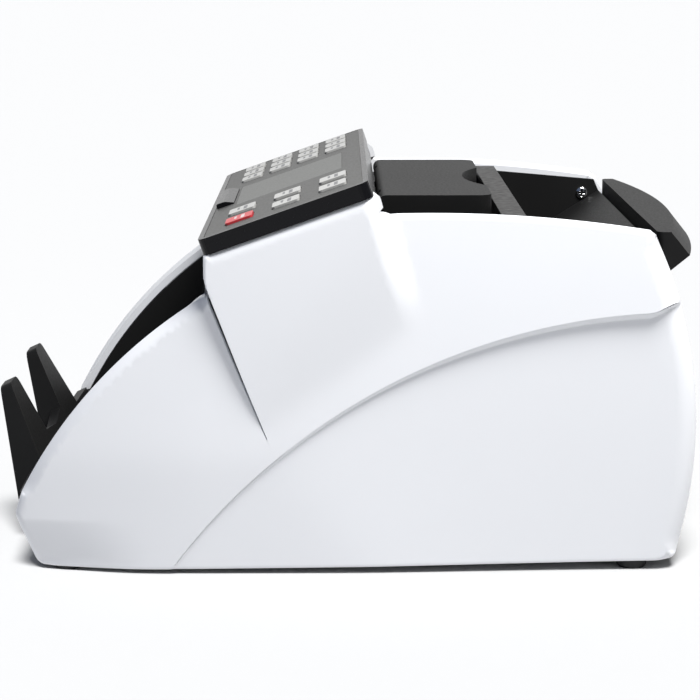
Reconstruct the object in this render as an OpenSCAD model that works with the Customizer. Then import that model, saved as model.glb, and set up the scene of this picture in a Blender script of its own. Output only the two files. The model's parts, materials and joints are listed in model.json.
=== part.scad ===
// Desktop banknote counter: hopper at the back, stacker at the front, sloped control panel between.
// X is the width (operator's right is positive), Y runs from the stacker to the hopper, Z is up.
// The origin is at the middle of the bounding box's bottom. All sizes are in millimetres.

/* [Overall] */
// Depth over the stop prongs and the hopper rest
overall_d = 313; // [300:1:330]
// Width over the side covers
body_w = 245; // [235:1:265]
// Height of the rubber feet
foot_h = 4.5; // [3:0.5:8]
// Diameter of a rubber foot
foot_d = 13; // [9:0.5:16]
// Distance of a foot's middle from the covers' side
foot_set = 15; // [13:0.5:18]
// Height of the covers' bottom edge at the front
chin_z = 1.6; // [1.5:0.1:3]

/* [Side covers] */
// Wall of the covers
cover_wall = 2.5; // [1.8:0.1:3.5]
// Space from the cover's side to the inner walls
side_room = 17; // [15:0.5:20]
// Setback of the nose behind the stop prongs
nose_set = 15; // [12:0.5:24]
// Height of the nose
nose_z = 25; // [20:1:32]
// Radius of the front lip's curve
lip_r = 212; // [160:1:400]
// Drop of the lip's upper end below the panel's front edge
lip_top_z = 24.3; // [18:0.1:32]
// Setback of the covers' back behind the hopper rest
tail_set = 8; // [5:0.5:14]
// Height of the cover's top edge
crest_z = 153.6; // [148:0.5:156]
// Fall of the top edge to its back corner
crest_fall = 7.5; // [4:0.5:12]
// Radius of the curved back
back_r = 190; // [150:1:400]
// Radius of the crease on the side
crease_r = 267; // [230:1:400]
// Lean of the upper side skin in degrees
upper_lean = 4; // [0:0.5:6]
// Inward turn of a cover's front part in degrees
toe_in = 4.2; // [0:0.1:5]
// Lean of the lower side skin in degrees
lower_lean = 3; // [0:0.5:5]
// Step of the crease
crease_step = 1.5; // [0.5:0.1:2.5]

/* [Panel] */
// Front edge of the panel along the depth
panel_y = -61.5; // [-66:0.5:-56]
// Drop of the panel's front edge below the covers' top edge
panel_z = 9.9; // [4:0.1:14]
// Slope of the panel in degrees
panel_slope = 19.3; // [15:0.1:24]
// Length of the panel along its slope
panel_l = 75; // [72:0.5:80]
// Thickness of the panel's edge
panel_t = 7; // [6:0.5:9]
// Corner radius of the panel
panel_r = 5; // [2:0.5:8]
// Width of the frame around the overlay
bezel = 2.5; // [1.5:0.5:5]
// Thickness of the keypad overlay
overlay_t = 1; // [0.6:0.1:1.5]
// Width of the display window
window_w = 70; // [60:1:80]
// Depth of the display window along the slope
window_l = 51; // [40:1:52]
// Width of the raised pad at the panel's front edge
pad_w = 54; // [40:1:90]
// Length of the raised pad along the slope
pad_l = 8.2; // [5:0.1:8.5]
// Height of the raised pad
pad_rise = 2.1; // [1:0.1:3]

/* [Keys] */
// Key width
key_w = 16; // [14:0.5:18]
// Key length in the left block
left_key_l = 10.5; // [8:0.5:12]
// Key length in the right block
right_key_l = 12; // [8:0.5:16]
// Pitch of the left block's columns
left_pitch_x = 21.5; // [20:0.5:23]
// Pitch of the left block's rows
left_pitch_y = 14.5; // [13.5:0.5:15.5]
// Pitch of the right block's columns
right_pitch_x = 30; // [22:0.5:32]
// Pitch of the right block's rows
right_pitch_y = 21; // [16:0.5:22]
// Middle of the left block, from the panel's left edge
left_block_x = 40; // [36:0.5:44]
// Middle of the right block, from the panel's right edge
right_block_x = 42; // [36:0.5:48]
// Height of a key above the overlay
key_rise = 0.8; // [0.6:0.1:1.5]
// Travel of a key
key_travel = 0.5; // [0.3:0.1:0.8]
// Gap around a key
key_gap = 0.3; // [0.2:0.05:0.6]

/* [Hopper and feed] */
// Slope of the hopper floor in degrees
floor_slope = 32; // [28:0.5:38]
// Distance of the hopper floor's upper end from the back
floor_y = 25.5; // [22:0.5:30]
// Drop of the hopper floor's upper end below the covers' top edge
floor_z = 15.6; // [12:0.2:20]
// Thickness of the plastic trays and plates
tray_t = 2; // [1.5:0.1:3]
// Distance of the panel's skirt behind the panel's back edge
skirt_y = 3.9; // [3:0.1:7]
// Half width of the feed cover
feed_cover_x = 74; // [60:1:84]
// Gap between the feed cover and the gate strip
feed_cover_back = 2.7; // [2:0.1:8]
// Width of the finger notch in the feed cover
lid_notch_w = 74; // [50:1:90]
// Depth of the finger notch in the feed cover
lid_notch_d = 9; // [5:0.5:10]
// Rise of the feed cover above the covers' top edge
feed_cover_z = 3.2; // [1:0.1:6]
// Distance of the gate strip's front edge from the hopper floor's upper end
gate_y = 64.5; // [60:0.5:68]
// Depth of the gate strip
gate_w = 10.5; // [6:0.5:14]
// Drop of the gate strip below the covers' top edge
gate_z = 3.1; // [0.5:0.1:6]
// Half width of the hopper rest
rest_x = 100; // [70:1:102]
// Thickness of the hopper rest
rest_t = 17.5; // [12:0.5:18]
// Radius of the rest's outer edge in plan
rest_r = 490; // [300:5:800]

/* [Stacker] */
// Height of the stacker floor
stacker_floor_z = 24; // [20:0.5:28]
// Forward lean of the stop in degrees
stop_lean = 24.5; // [10:0.5:30]
// Height of the stop along its lean
stop_l = 40; // [30:0.5:48]
// Thickness of the stop
stop_t = 5.2; // [3:0.1:7]
// Distance of a prong's middle from the centre
prong_x = 40.5; // [30:0.5:60]
// Width of a prong's tip
prong_w = 18; // [12:0.5:24]
// Flare of a prong's outer edge per mm of height
prong_flare = 0.42; // [0.2:0.02:0.8]
// Taper of a prong's inner edge per mm of height
prong_taper = 0.24; // [0.1:0.02:0.4]
// Thickness that a prong's front gains towards its foot
prong_swell = 9; // [4:0.2:10]
// Reach of a prong's foot down the front of the apron
prong_drop = 7; // [3:0.5:9]
// Radius of a stacker wheel
wheel_r = 36; // [28:0.5:38]
// Width of a stacker wheel
wheel_w = 8; // [5:0.5:12]
// Distance of a stacker wheel from the centre
wheel_x = 36; // [24:1:60]
// Fins on a stacker wheel
fin_count = 10; // [6:1:14]

/* [Drive] */
// Radius of the shafts
shaft_r = 4; // [3:0.5:5]
// Running clearance of a shaft in its bearing
run_gap = 0.05; // [0.02:0.01:0.1]
// Gap between moving and fixed pieces
move_gap = 0.4; // [0.3:0.05:1]
// Gap between fitted fixed pieces
fit_gap = 0.1; // [0.05:0.05:0.3]
// Radius of the feed rollers
feed_r = 20; // [16:0.5:22]
// Radius of the pick-up rollers
pickup_r = 15; // [12:0.5:16]
// Radius of the retard rollers
retard_r = 13; // [10:0.5:14]
// Radius of the transport roller
transport_r = 13; // [10:0.5:15]
// Thickness of the side frames
frame_t = 2; // [1.5:0.1:2.5]
// Thickness of a drive belt
belt_t = 1.2; // [0.8:0.1:1.6]
// Width of a drive belt
belt_w = 2.6; // [2:0.2:3]
// Radius of the main motor
main_motor_r = 20; // [14:0.5:22]
// Length of the main motor
main_motor_l = 62; // [40:1:80]
// Radius of the stacker motor
stacker_motor_r = 15; // [10:0.5:17]
// Length of the stacker motor
stacker_motor_l = 44; // [30:1:50]
// Distance of a feed roller from the centre
feed_roller_x = 30; // [24:1:40]
// Width of a feed roller
feed_roller_w = 28; // [20:1:34]
// Pitch of the pick-up rollers
pickup_pitch = 45; // [30:1:60]
// Width of a pick-up roller
pickup_roller_w = 12; // [8:0.5:16]
// Distance of a retard roller from the centre
retard_roller_x = 13; // [11:0.5:14]
// Width of a retard roller
retard_roller_w = 18; // [12:0.5:20]
// Pitch of the transport rollers
transport_pitch = 40; // [32:1:50]
// Width of a transport roller
transport_roller_w = 20; // [12:0.5:30]
// Middle of the main board across the width
board_x = 22.5; // [10:0.5:26]
// Width of the main board
board_w = 145; // [100:1:160]
// Depth of the main board
board_l = 62; // [50:1:70]
// Gap between the power supply and the left inner wall
supply_gap = 15.5; // [13:0.5:24]
// Width of the power supply
supply_w = 76; // [60:1:90]
// Depth of the power supply
supply_l = 44; // [36:1:52]
// Height of the power supply
supply_h = 34; // [26:1:40]

/* [Rear connections] */
// Middle of the mains inlet across the width
inlet_x = -58; // [-80:1:-40]
// Middle of the power switch across the width
switch_x = -24; // [-30:1:0]
// Height of the inlet and the switch
rear_z = 36; // [30:0.5:60]
// Width of the socket in the inlet
socket_w = 24.6; // [24:0.1:26]
// Height of the socket in the inlet
socket_h = 16.4; // [16:0.1:18]
// Tilt of the rocker to each side in degrees
rocker_tilt = 8; // [5:0.5:10]
// Depth of the socket in the inlet
socket_d = 15; // [12:0.5:18]

/* [Hidden] */
eps = 0.01;
half_w = body_w / 2;
front_y = -overall_d / 2;
back_y = overall_d / 2;
nose_y = front_y + nose_set;
tail_y = back_y - tail_set;
// Inner walls, side frames and belt lanes, counted from the cover's side inwards
wall_x = half_w - side_room;
frame_x = wall_x + frame_t;
lane_a = frame_x + 1.2;
lane_b = lane_a + belt_w + 0.8;
inner_x = wall_x - tray_t;

// Panel corners in the Y-Z plane
panel_u = [cos(panel_slope), sin(panel_slope)];
panel_n = [-sin(panel_slope), cos(panel_slope)];
panel_front = [panel_y, crest_z - panel_z];
panel_back = panel_front + panel_l * panel_u;
panel_front_low = panel_front - panel_t * panel_n;
panel_back_low = panel_back - panel_t * panel_n;
skirt_end = [panel_back[0] + skirt_y, panel_back[1] - 11.8];

// Hopper floor line, from its upper end down to the feed nip
floor_u = [-cos(floor_slope), -sin(floor_slope)];
floor_n = [-sin(floor_slope), cos(floor_slope)];
floor_top = [back_y - floor_y, crest_z - floor_z];
floor_l = 58;
floor_end = floor_top + floor_l * floor_u;
nip = floor_top + (floor_l + 24) * floor_u;
retard_gap = 0.8;
gate_front = floor_top[0] - gate_y;
gate_top = crest_z - gate_z;
lid_back = gate_front - feed_cover_back;
lid_top = crest_z + feed_cover_z;
feed_axis = nip - feed_r * floor_n;
retard_axis = nip + (retard_r + retard_gap) * floor_n;
pickup_axis = floor_top + 34 * floor_u - (pickup_r - 1.5) * floor_n;
transport_axis = feed_axis + [-50, -20];
wheel_axis = [panel_y + 10, stacker_floor_z + 29];
main_motor_axis = feed_axis + [12, -44];
stacker_motor_axis = wheel_axis + [50, -22];

// Pulley radii
feed_pulley_r = 14;
main_pulley_r = 7;
pickup_pulley_r = 8;
transport_pulley_r = 8;
stacker_pulley_r = 15;
stacker_drive_r = 6;
bearing_r = 8;
rotor_r = 3;

// Feed cover hinge
hinge_r = 3.5;
hinge_axis = [skirt_end[0] + 1 + hinge_r, lid_top - hinge_r];
ear_x = 50;
ear_w = 6;
ear_r = 2.6;
hinge_pin_r = 1.5;
deck_z = lid_top - 10.6;

function unit(v) = v / norm(v);

// Arc that rounds corner b between a and c
function fillet(a, b, c, r, n = 6) =
    let (u = unit(a - b))
    let (v = unit(c - b))
    let (half = acos(u * v) / 2)
    let (o = b + unit(u + v) * (r / sin(half)))
    let (p = b + u * (r / tan(half)) - o)
    let (q = b + v * (r / tan(half)) - o)
    let (a0 = atan2(p[1], p[0]))
    let (t = atan2(q[1], q[0]) - a0)
    let (turn = t > 180 ? t - 360 : (t < -180 ? t + 360 : t))
    [for (i = [0:n]) o + r * [cos(a0 + turn * i / n), sin(a0 + turn * i / n)]];

// Arc from p to q that bulges to the left of that direction
function arc_between(p, q, r, n = 12) =
    let (h = norm(q - p) / 2)
    let (u = unit(q - p))
    let (o = (p + q) / 2 - [-u[1], u[0]] * sqrt(r * r - h * h))
    let (a0 = atan2(p[1] - o[1], p[0] - o[0]))
    let (turn = -2 * asin(h / r))
    [for (i = [0:n]) o + r * [cos(a0 + turn * i / n), sin(a0 + turn * i / n)]];

// Depth at height z on the arc from p to q
function arc_y(p, q, r, z) =
    let (h = norm(q - p) / 2)
    let (u = unit(q - p))
    let (o = (p + q) / 2 - [-u[1], u[0]] * sqrt(r * r - h * h))
    o[0] + sqrt(r * r - (z - o[1]) * (z - o[1]));

// Line of points moved to its right by d
function shifted(pts, d) =
    [for (i = [0:len(pts) - 1])
        let (p = pts[max(i - 1, 0)])
        let (q = pts[min(i + 1, len(pts) - 1)])
        let (u = unit(q - p))
        pts[i] + d * [u[1], -u[0]]];

// Closed clockwise loop drawn in by d
function inset(pts, d) =
    let (n = len(pts))
    [for (i = [0:n - 1])
        let (a = unit(pts[i] - pts[(i + n - 1) % n]))
        let (b = unit(pts[(i + 1) % n] - pts[i]))
        let (na = [a[1], -a[0]])
        let (nb = [b[1], -b[0]])
        pts[i] + d * (na + nb) / (1 + na * nb)];

function reversed(pts) = [for (i = [len(pts) - 1:-1:0]) pts[i]];

// Rounded rectangle from corner p to corner q
function rounded_box(p, q, r) =
    concat(
        fillet([p[0], q[1]], p, [q[0], p[1]], r),
        fillet(p, [q[0], p[1]], q, r),
        fillet([q[0], p[1]], q, [p[0], q[1]], r),
        fillet(q, [p[0], q[1]], p, r));

// Loop around two circles at p and q
function belt_loop(p, rp, q, rq, n = 12) =
    let (d = norm(q - p))
    let (base = atan2(q[1] - p[1], q[0] - p[0]))
    let (side = acos((rp - rq) / d))
    concat(
        [for (i = [0:n]) let (a = base + side + (360 - 2 * side) * i / n) p + rp * [cos(a), sin(a)]],
        [for (i = [0:n]) let (a = base - side + 2 * side * i / n) q + rq * [cos(a), sin(a)]]);

// Outline of a side cover in the Y-Z plane
chin = [nose_y + 9, foot_h];
cover_chin = [chin[0], chin_z];
nose = [nose_y, nose_z];
lip_start = [nose_y + 3, nose_z + 9.5];
lip_end = [panel_front_low[0], panel_front[1] - lip_top_z];
crest_start = [panel_back_low[0] + 2.4, crest_z];
crest_end = [tail_y - 21.5, crest_z - crest_fall + 0.8];
back_top = [tail_y - 18.5, crest_z - crest_fall - 1.6];
back_low = [tail_y - 4.5, foot_h + 9];
heel = [tail_y - 7, foot_h];
lip_line = arc_between(lip_start, lip_end, lip_r, 14);
back_line = arc_between(back_top, back_low, back_r, 14);
nose_line = concat(fillet(heel, cover_chin, nose, 5), fillet(cover_chin, nose, lip_start, 5));
cover_outline = concat(
    nose_line,
    lip_line,
    [panel_front_low, panel_back_low],
    arc_between(crest_start, crest_end, 590, 8),
    back_line,
    fillet(back_low, heel, cover_chin, 4));

// Height of the covers' bottom edge at depth y
function cover_low_z(y) = chin_z + (foot_h - chin_z) * (y - chin[0]) / (heel[0] - chin[0]);

// Like the covers' outline, with a level bottom and sharp lower corners, for the side frames
frame_outline = concat(
    [chin, nose],
    lip_line,
    [panel_front_low, panel_back_low],
    arc_between(crest_start, crest_end, 590, 8),
    back_line,
    [heel]);
crease_line = arc_between([panel_y - 12.5, foot_h - 2], [tail_y - 21.5, crest_z - 41.6], crease_r, 16);

left_rows = [for (i = [0:3]) 16.8 + left_pitch_y * i];
right_rows = [for (i = [0:2]) 17.4 + right_pitch_y * i];
left_columns = [for (i = [-1:1]) left_block_x - half_w + left_pitch_x * i];
right_columns = [for (i = [-1:2:1]) half_w - right_block_x + right_pitch_x / 2 * i];

left_keys = [for (r = [0:3]) for (c = [0:2]) [left_columns[c], left_rows[r], left_key_l]];
right_keys = [for (r = [0:2]) for (c = [0:1]) [right_columns[c], right_rows[r], right_key_l]];
keys = concat(left_keys, right_keys);
left_names = [for (r = [1:4]) for (c = [1:3]) str("key_left_r", r, "_c", c)];
right_names = ["key_right_r1_c1", "start_key", "key_right_r2_c1", "key_right_r2_c2", "key_right_r3_c1", "key_right_r3_c2"];
key_names = concat(left_names, right_names);

white = [0.90, 0.91, 0.93];
black = [0.10, 0.10, 0.11];
grey = [0.42, 0.43, 0.45];
steel = [0.66, 0.68, 0.70];
rubber = [0.16, 0.16, 0.17];
green = [0.10, 0.36, 0.22];

// Which node is drawn

// Draws a Y-Z profile from x0 to x1 across the width
module across(x0, x1) {
    translate([x0, 0, 0])
        rotate([90, 0, 90])
            linear_extrude(x1 - x0)
                children();
}

// Cylinder along the width about a point of the Y-Z plane
module rod(at, r, x0, x1) {
    translate([x0, at[0], at[1]])
        rotate([0, 90, 0])
            cylinder(h = x1 - x0, r = r, $fn = 64);
}

// Places children in the panel's own frame: x across, y up the slope, z out of the panel
module on_panel() {
    translate([0, panel_front[0], panel_front[1]])
        rotate([panel_slope, 0, 0])
            children();
}

// Half space below a plane that leans inwards above height z0
module leaning_block(x0, z0, lean) {
    translate([x0, 0, z0])
        rotate([0, -lean, 0])
            translate([-80, -200, -120])
                cube([80, 400, 320]);
}

// Raised shoulder under the panel, as a Y-Z loop that runs past the cover's own outline
shoulder_low = panel_front + [27.5, -82.7];
shoulder_right = [panel_back_low[0] + 17.6, panel_back_low[1] - 55.6];
shoulder_loop = [
    panel_front_low + [-8, -9], panel_front_low + [-8, 12],
    panel_back_low + [4.4, 12], panel_back_low + [4.6, -10.3],
    shoulder_right, shoulder_low, lip_end + [1.6, 2.5]];

// Solid form of the right cover, shrunk by g
module cover_form(g) {
    lean_z = foot_h + 50;
    low = concat(crease_line, [[tail_y + 20, crest_z - 38], [tail_y + 20, -20], [panel_y - 12.5, -20]]);
    run = shoulder_right - shoulder_low;
    intersection() {
        across(wall_x - (g > 0 ? 1 : 0), half_w - g)
            polygon(g > 0 ? inset(cover_outline, g) : cover_outline);
        translate([half_w - 0.5 - g, panel_y - 13.5, 0])
            rotate([0, 0, -toe_in])
                translate([-90, -150, -20])
                    cube([90, 450, 300]);
        union() {
            difference() {
                intersection() {
                    leaning_block(half_w - 0.8 - g, lean_z, upper_lean);
                    translate([0, -200, -20])
                        cube([half_w - 0.5 - g, 400, 300]);
                }
                difference() {
                    across(wall_x + 1, half_w + 5)
                        polygon(low);
                    intersection() {
                        leaning_block(half_w - 0.8 - crease_step - g, lean_z, lower_lean);
                        translate([0, -300, -40])
                            cube([half_w - 1 - g, 600, 400]);
                    }
                }
            }
            intersection() {
                across(wall_x - 2, half_w + 1 - g)
                    polygon(g > 0 ? inset(shoulder_loop, g) : shoulder_loop);
                translate([half_w - 1.5 - g, shoulder_low[0], shoulder_low[1]])
                    rotate([atan2(run[1], run[0]), 0, 0])
                        rotate([0, 6, 2.3])
                            translate([-90, -150, -150])
                                cube([90, 400, 400]);
            }
        }
    }
}

module cover_right() {
    color(white)
        difference() {
            cover_form(0);
            cover_form(cover_wall);
        }
}

module side_cover_right() {
    cover_right();
}

module side_cover_left() {
    mirror([1, 0, 0])
        cover_right();
}

module base_pan() {
    color(steel)
        difference() {
            translate([-wall_x + fit_gap, chin[0] + 4.5, foot_h])
                cube([2 * (wall_x - fit_gap), heel[0] - chin[0] - 8.5, 2]);
            for (x = [-40:16:40])
                translate([x - 2, -20, foot_h - 1])
                    cube([4, 60, 4]);
            for (p = screw_spots())
                translate([p[0], p[1], foot_h - 1])
                    cylinder(h = 4, r = 1.6, $fn = 32);
        }
}

// Places of the screws under the base pan
function screw_spots() =
    [for (x = [-1:2:1]) for (t = [0.12, 0.5, 0.88])
        [x * (wall_x - 6), chin[0] + 60 + t * (heel[0] - chin[0] - 70)]];

module case_screws() {
    color(steel)
        for (p = screw_spots()) {
            translate([p[0], p[1], foot_h - 1.4])
                difference() {
                    cylinder(h = 1.4, r = 3, $fn = 32);
                    translate([-2, -0.4, -1])
                        cube([4, 0.8, 1.7]);
                    translate([-0.4, -2, -1])
                        cube([0.8, 4, 1.7]);
                }
            translate([p[0], p[1], foot_h - eps])
                cylinder(h = 4.5, r = 1.5, $fn = 32);
        }
}

module rubber_feet() {
    color(rubber)
        for (x = [-1:2:1])
            for (y = [chin[0] + 13, heel[0] - 18])
                translate([x * (half_w - foot_set), y, 0]) {
                    cylinder(h = 1.2, r1 = foot_d / 2 - 0.8, r2 = foot_d / 2, $fn = 48);
                    translate([0, 0, 1.2])
                        cylinder(h = cover_low_z(y - foot_d / 2) - 1.2, r = foot_d / 2, $fn = 48);
                }
}

// Plate that carries the shafts, with a foot flange turned inwards
module frame_right() {
    color(steel)
        difference() {
            union() {
                across(wall_x, frame_x)
                    intersection() {
                        polygon(inset(frame_outline, cover_wall + 1.5));
                        translate([panel_y - 32, 0])
                            square([300, 200]);
                    }
                translate([wall_x - 1, panel_y - 20, foot_h + cover_wall + 0.3])
                    cube([1 + frame_t, heel[0] - panel_y + 5, 6]);
                translate([wall_x - 12, panel_y - 20, foot_h + 2])
                    cube([12, heel[0] - panel_y + 5, 2]);
            }
            for (a = [feed_axis, pickup_axis, transport_axis, wheel_axis])
                rod(a, bearing_r, wall_x - 5, frame_x + 5);
            for (a = [main_motor_axis, stacker_motor_axis])
                rod(a, rotor_r + 2, wall_x - 5, frame_x + 5);
            rod(frame_window(), 10, wall_x - 5, frame_x + 5);
            for (p = screw_spots())
                translate([p[0], p[1], 0])
                    cylinder(h = 20, r = 1.6, $fn = 32);
            rod(hopper_screw_at(), 1.6, wall_x - 5, frame_x + 5);
        }
}

// Lightening hole of a side frame, and the hopper screw's place
function frame_window() = [panel_y + 55, crest_z - 35];
function hopper_screw_at() = floor_top - [8.5, 1.4];

module side_frame_right() {
    frame_right();
}

module side_frame_left() {
    mirror([1, 0, 0])
        frame_right();
}

module front_apron() {
    line = concat(fillet(heel, chin, nose, 5), fillet(chin, nose, lip_start, 5));
    color(white)
        across(-wall_x + fit_gap, wall_x - fit_gap)
            polygon(concat(line, reversed(shifted(line, cover_wall))));
}

// Back cover's curve from height z down
function back_cover_line(z) =
    concat([[arc_y(back_top, back_low, back_r, z), z]], [for (p = back_line) if (p[1] < z - 1) p]);

// Underside of the hopper rest
rest_low = crest_z - crest_fall - 1.9 - rest_t;

module back_cover() {
    line = concat(back_cover_line(rest_low - fit_gap), fillet(back_low, heel, chin, 4));
    tab = back_cover_line(floor_top[1] - 3);
    tab_line = [for (p = tab) if (p[1] > rest_low - 12) p];
    color(white)
        difference() {
            union() {
                across(-wall_x + fit_gap, wall_x - fit_gap)
                    polygon(concat(line, reversed(shifted(line, cover_wall))));
                for (x = [-wall_x + fit_gap, rest_x + fit_gap])
                    across(x, x + wall_x - rest_x - 2 * fit_gap)
                        polygon(concat(tab_line, reversed(shifted(tab_line, cover_wall))));
                translate([inlet_x - 20, tail_y - 5, rear_z - 16])
                    cube([switch_x - inlet_x + 36, 6, 32]);
            }
            translate([inlet_x - 14, tail_y - 30, rear_z - 10.2])
                cube([28, 50, 20.4]);
            translate([switch_x - 6.6, tail_y - 30, rear_z - 9.6])
                cube([13.2, 50, 19.2]);
            for (x = [10:9:82])
                translate([x - 2, tail_y - 30, rear_z - 10])
                    cube([4, 50, 28]);
        }
}

// Front face of the plate behind the notes, from top to bottom
function back_plate_line() =
    [[panel_front_low[0] + 1.5, panel_front_low[1] - 1.5], [panel_y - 19, stacker_floor_z - tray_t]];

// Depth of that face at height z
function back_plate_y(z) =
    let (line = back_plate_line())
    line[1][0] + (line[0][0] - line[1][0]) * (z - line[1][1]) / (line[0][1] - line[1][1]);

// Origin, upward direction and back corner of the stop in the Y-Z plane
stop_at = [nose_y + 1.6, nose_z + 5];
stop_u = [-sin(stop_lean), cos(stop_lean)];
stop_root = 8;
stop_corner = stop_at - stop_root * stop_u + stop_t * [cos(stop_lean), sin(stop_lean)];

// Wall and floor of the note pocket
module stacker_tray() {
    low = stacker_floor_z - tray_t;
    wall = [for (p = shifted(lip_line, 5)) if (p[0] < back_plate_y(p[1]) - 1) p];
    last = wall[len(wall) - 1];
    back = back_plate_y(low) - fit_gap;
    profile = concat(
        wall,
        [[back_plate_y(last[1]) - fit_gap, last[1]], [back, low], [stop_corner[0] - 3, low]]);
    color(black) {
        across(inner_x, wall_x)
            polygon(profile);
        across(-wall_x, -inner_x)
            polygon(profile);
        translate([-inner_x - eps, stop_corner[0] - 1.5, low])
            cube([2 * inner_x + 2 * eps, back - stop_corner[0] + 1.5, tray_t]);
    }
}

module stacker_back_plate() {
    line = back_plate_line();
    color(black)
        difference() {
            across(-wall_x + fit_gap, wall_x - fit_gap)
                polygon([line[0], line[0] + [2, 0], line[1] + [2, 0], line[1]]);
            for (x = [-wheel_x, wheel_x])
                rod(wheel_axis, wheel_r + 2, x - wheel_w / 2 - 2, x + wheel_w / 2 + 2);
        }
}

// Places children in the stop's own plane: x across, y up the lean, z out of its front
module on_stop() {
    translate([0, stop_at[0], stop_at[1]])
        rotate([90 + stop_lean, 0, 0])
            children();
}

module stacker_stop() {
    tip_in = prong_x - prong_w / 2;
    tip_out = prong_x + prong_w / 2;
    base_x = inner_x - fit_gap;
    front_slope = prong_swell / stop_l;
    low = -prong_drop - 1;
    low_in = [tip_in - prong_taper * (stop_l - low), low];
    low_out = [tip_out + prong_flare * (stop_l - low), low];
    prong = concat(
        fillet(low_in, [tip_in, stop_l], [tip_out, stop_l], 5),
        fillet([tip_in, stop_l], [tip_out, stop_l], low_out, 5),
        [low_out, low_in]);
    side = [
        [stop_l + 1, -stop_t], [-1.4, -stop_t], [-1.4, 4.3], [-prong_drop, 4.3],
        [-prong_drop, front_slope * (stop_l + prong_drop)], [stop_l + 1, -front_slope]];
    half_web = [[0, 7], [tip_in - prong_taper * 30 + 4, 10.4], [tip_out + 8, 3], [base_x, 2], [base_x, -stop_root]];
    mirrored_web = [for (i = [len(half_web) - 1:-1:1]) [-half_web[i][0], half_web[i][1]]];
    color(black)
        on_stop() {
            translate([0, 0, -stop_t])
                linear_extrude(stop_t)
                    polygon(concat(half_web, mirrored_web));
            for (x = [0, 1])
                mirror([x, 0, 0])
                    intersection() {
                        translate([0, 0, -stop_t - 1])
                            linear_extrude(stop_t + 2 * prong_swell)
                                polygon(prong);
                        across(1, inner_x)
                            polygon(side);
                    }
        }
}

module hopper_tray() {
    wall_top = [
        [gate_front - 1, crest_z - 4.6], [floor_top[0] - 2.4, crest_z - crest_fall - 2.6], floor_top + [0.5, -1]];
    low = [floor_top - tray_t * floor_n, floor_end - tray_t * floor_n, [gate_front - 1, floor_end[1] - 4]];
    pick = floor_top + 34 * floor_u;
    color(black) {
        for (s = [-1, 1])
            across(s > 0 ? inner_x : -wall_x, s > 0 ? wall_x : -inner_x)
                polygon(concat(wall_top, low));
        difference() {
            across(-inner_x - eps, inner_x + eps)
                polygon([floor_top, floor_end, floor_end - tray_t * floor_n, floor_top - tray_t * floor_n]);
            for (x = [-pickup_pitch, 0, pickup_pitch])
                rod(pickup_axis, pickup_r + 1, x - pickup_roller_w / 2 - 2, x + pickup_roller_w / 2 + 2);
        }
        for (s = [-1, 1])
            translate([s > 0 ? feed_cover_x - 4 : -wall_x, skirt_end[0] + 0.4, deck_z - tray_t])
                cube([wall_x - feed_cover_x + 4, gate_front - 1 - skirt_end[0] - 0.4 + eps, tray_t]);
    }
}

module hopper_screws() {
    a = hopper_screw_at();
    color(steel)
        for (s = [-1, 1])
            mirror([s > 0 ? 0 : 1, 0, 0]) {
                difference() {
                    rod(a, 3.1, inner_x - 1.8, inner_x);
                    translate([inner_x - 2, a[0] - 2, a[1] - 0.4])
                        cube([1, 4, 0.8]);
                    translate([inner_x - 2, a[0] - 0.4, a[1] - 2])
                        cube([1, 0.8, 4]);
                }
            }
}

module hopper_rest() {
    c = back_y - rest_r;
    top = crest_z - crest_fall - 1.9;
    inner_y = floor_top[0] + 1.3;
    r = rest_r;
    profile = [
        [r - 60, top], [r - 8, top], [r, top - 10],
        [r - 9, top - rest_t], [r - 60, top - rest_t]];
    color(black)
        intersection() {
            translate([0, c, 0])
                rotate([0, 0, 90 - 15])
                    rotate_extrude(angle = 30, $fn = 360)
                        polygon(profile);
            linear_extrude(300)
                polygon(rounded_box([-rest_x, inner_y], [rest_x, back_y + 20], 3));
        }
}

module feed_gate() {
    low = retard_axis[1] + retard_r + 1;
    color(grey) {
        translate([-inner_x + fit_gap, gate_front, gate_top - tray_t])
            cube([2 * (inner_x - fit_gap), gate_w, tray_t]);
        translate([-inner_x + fit_gap, gate_front + 2, low])
            cube([2 * (inner_x - fit_gap), tray_t, gate_top - tray_t - low + eps]);
    }
}

// Raised pad behind the panel's front frame, grown by g
module front_pad(g) {
    y0 = bezel + 0.7 - g;
    y1 = bezel + 0.7 + pad_l + g;
    top = concat(
        fillet([y0, 0], [y0, pad_rise], [y1 - 4, pad_rise], 1, 4),
        fillet([y0, pad_rise], [y1 - 4, pad_rise], [y1, 0.4], 5, 4));
    rotate([90, 0, 90])
        translate([0, 0, -pad_w / 2 - g])
            linear_extrude(pad_w + 2 * g)
                polygon(concat([[y1, 0.4], [y1, -overlay_t - 0.5], [y0, -overlay_t - 0.5]], top));
}

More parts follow.
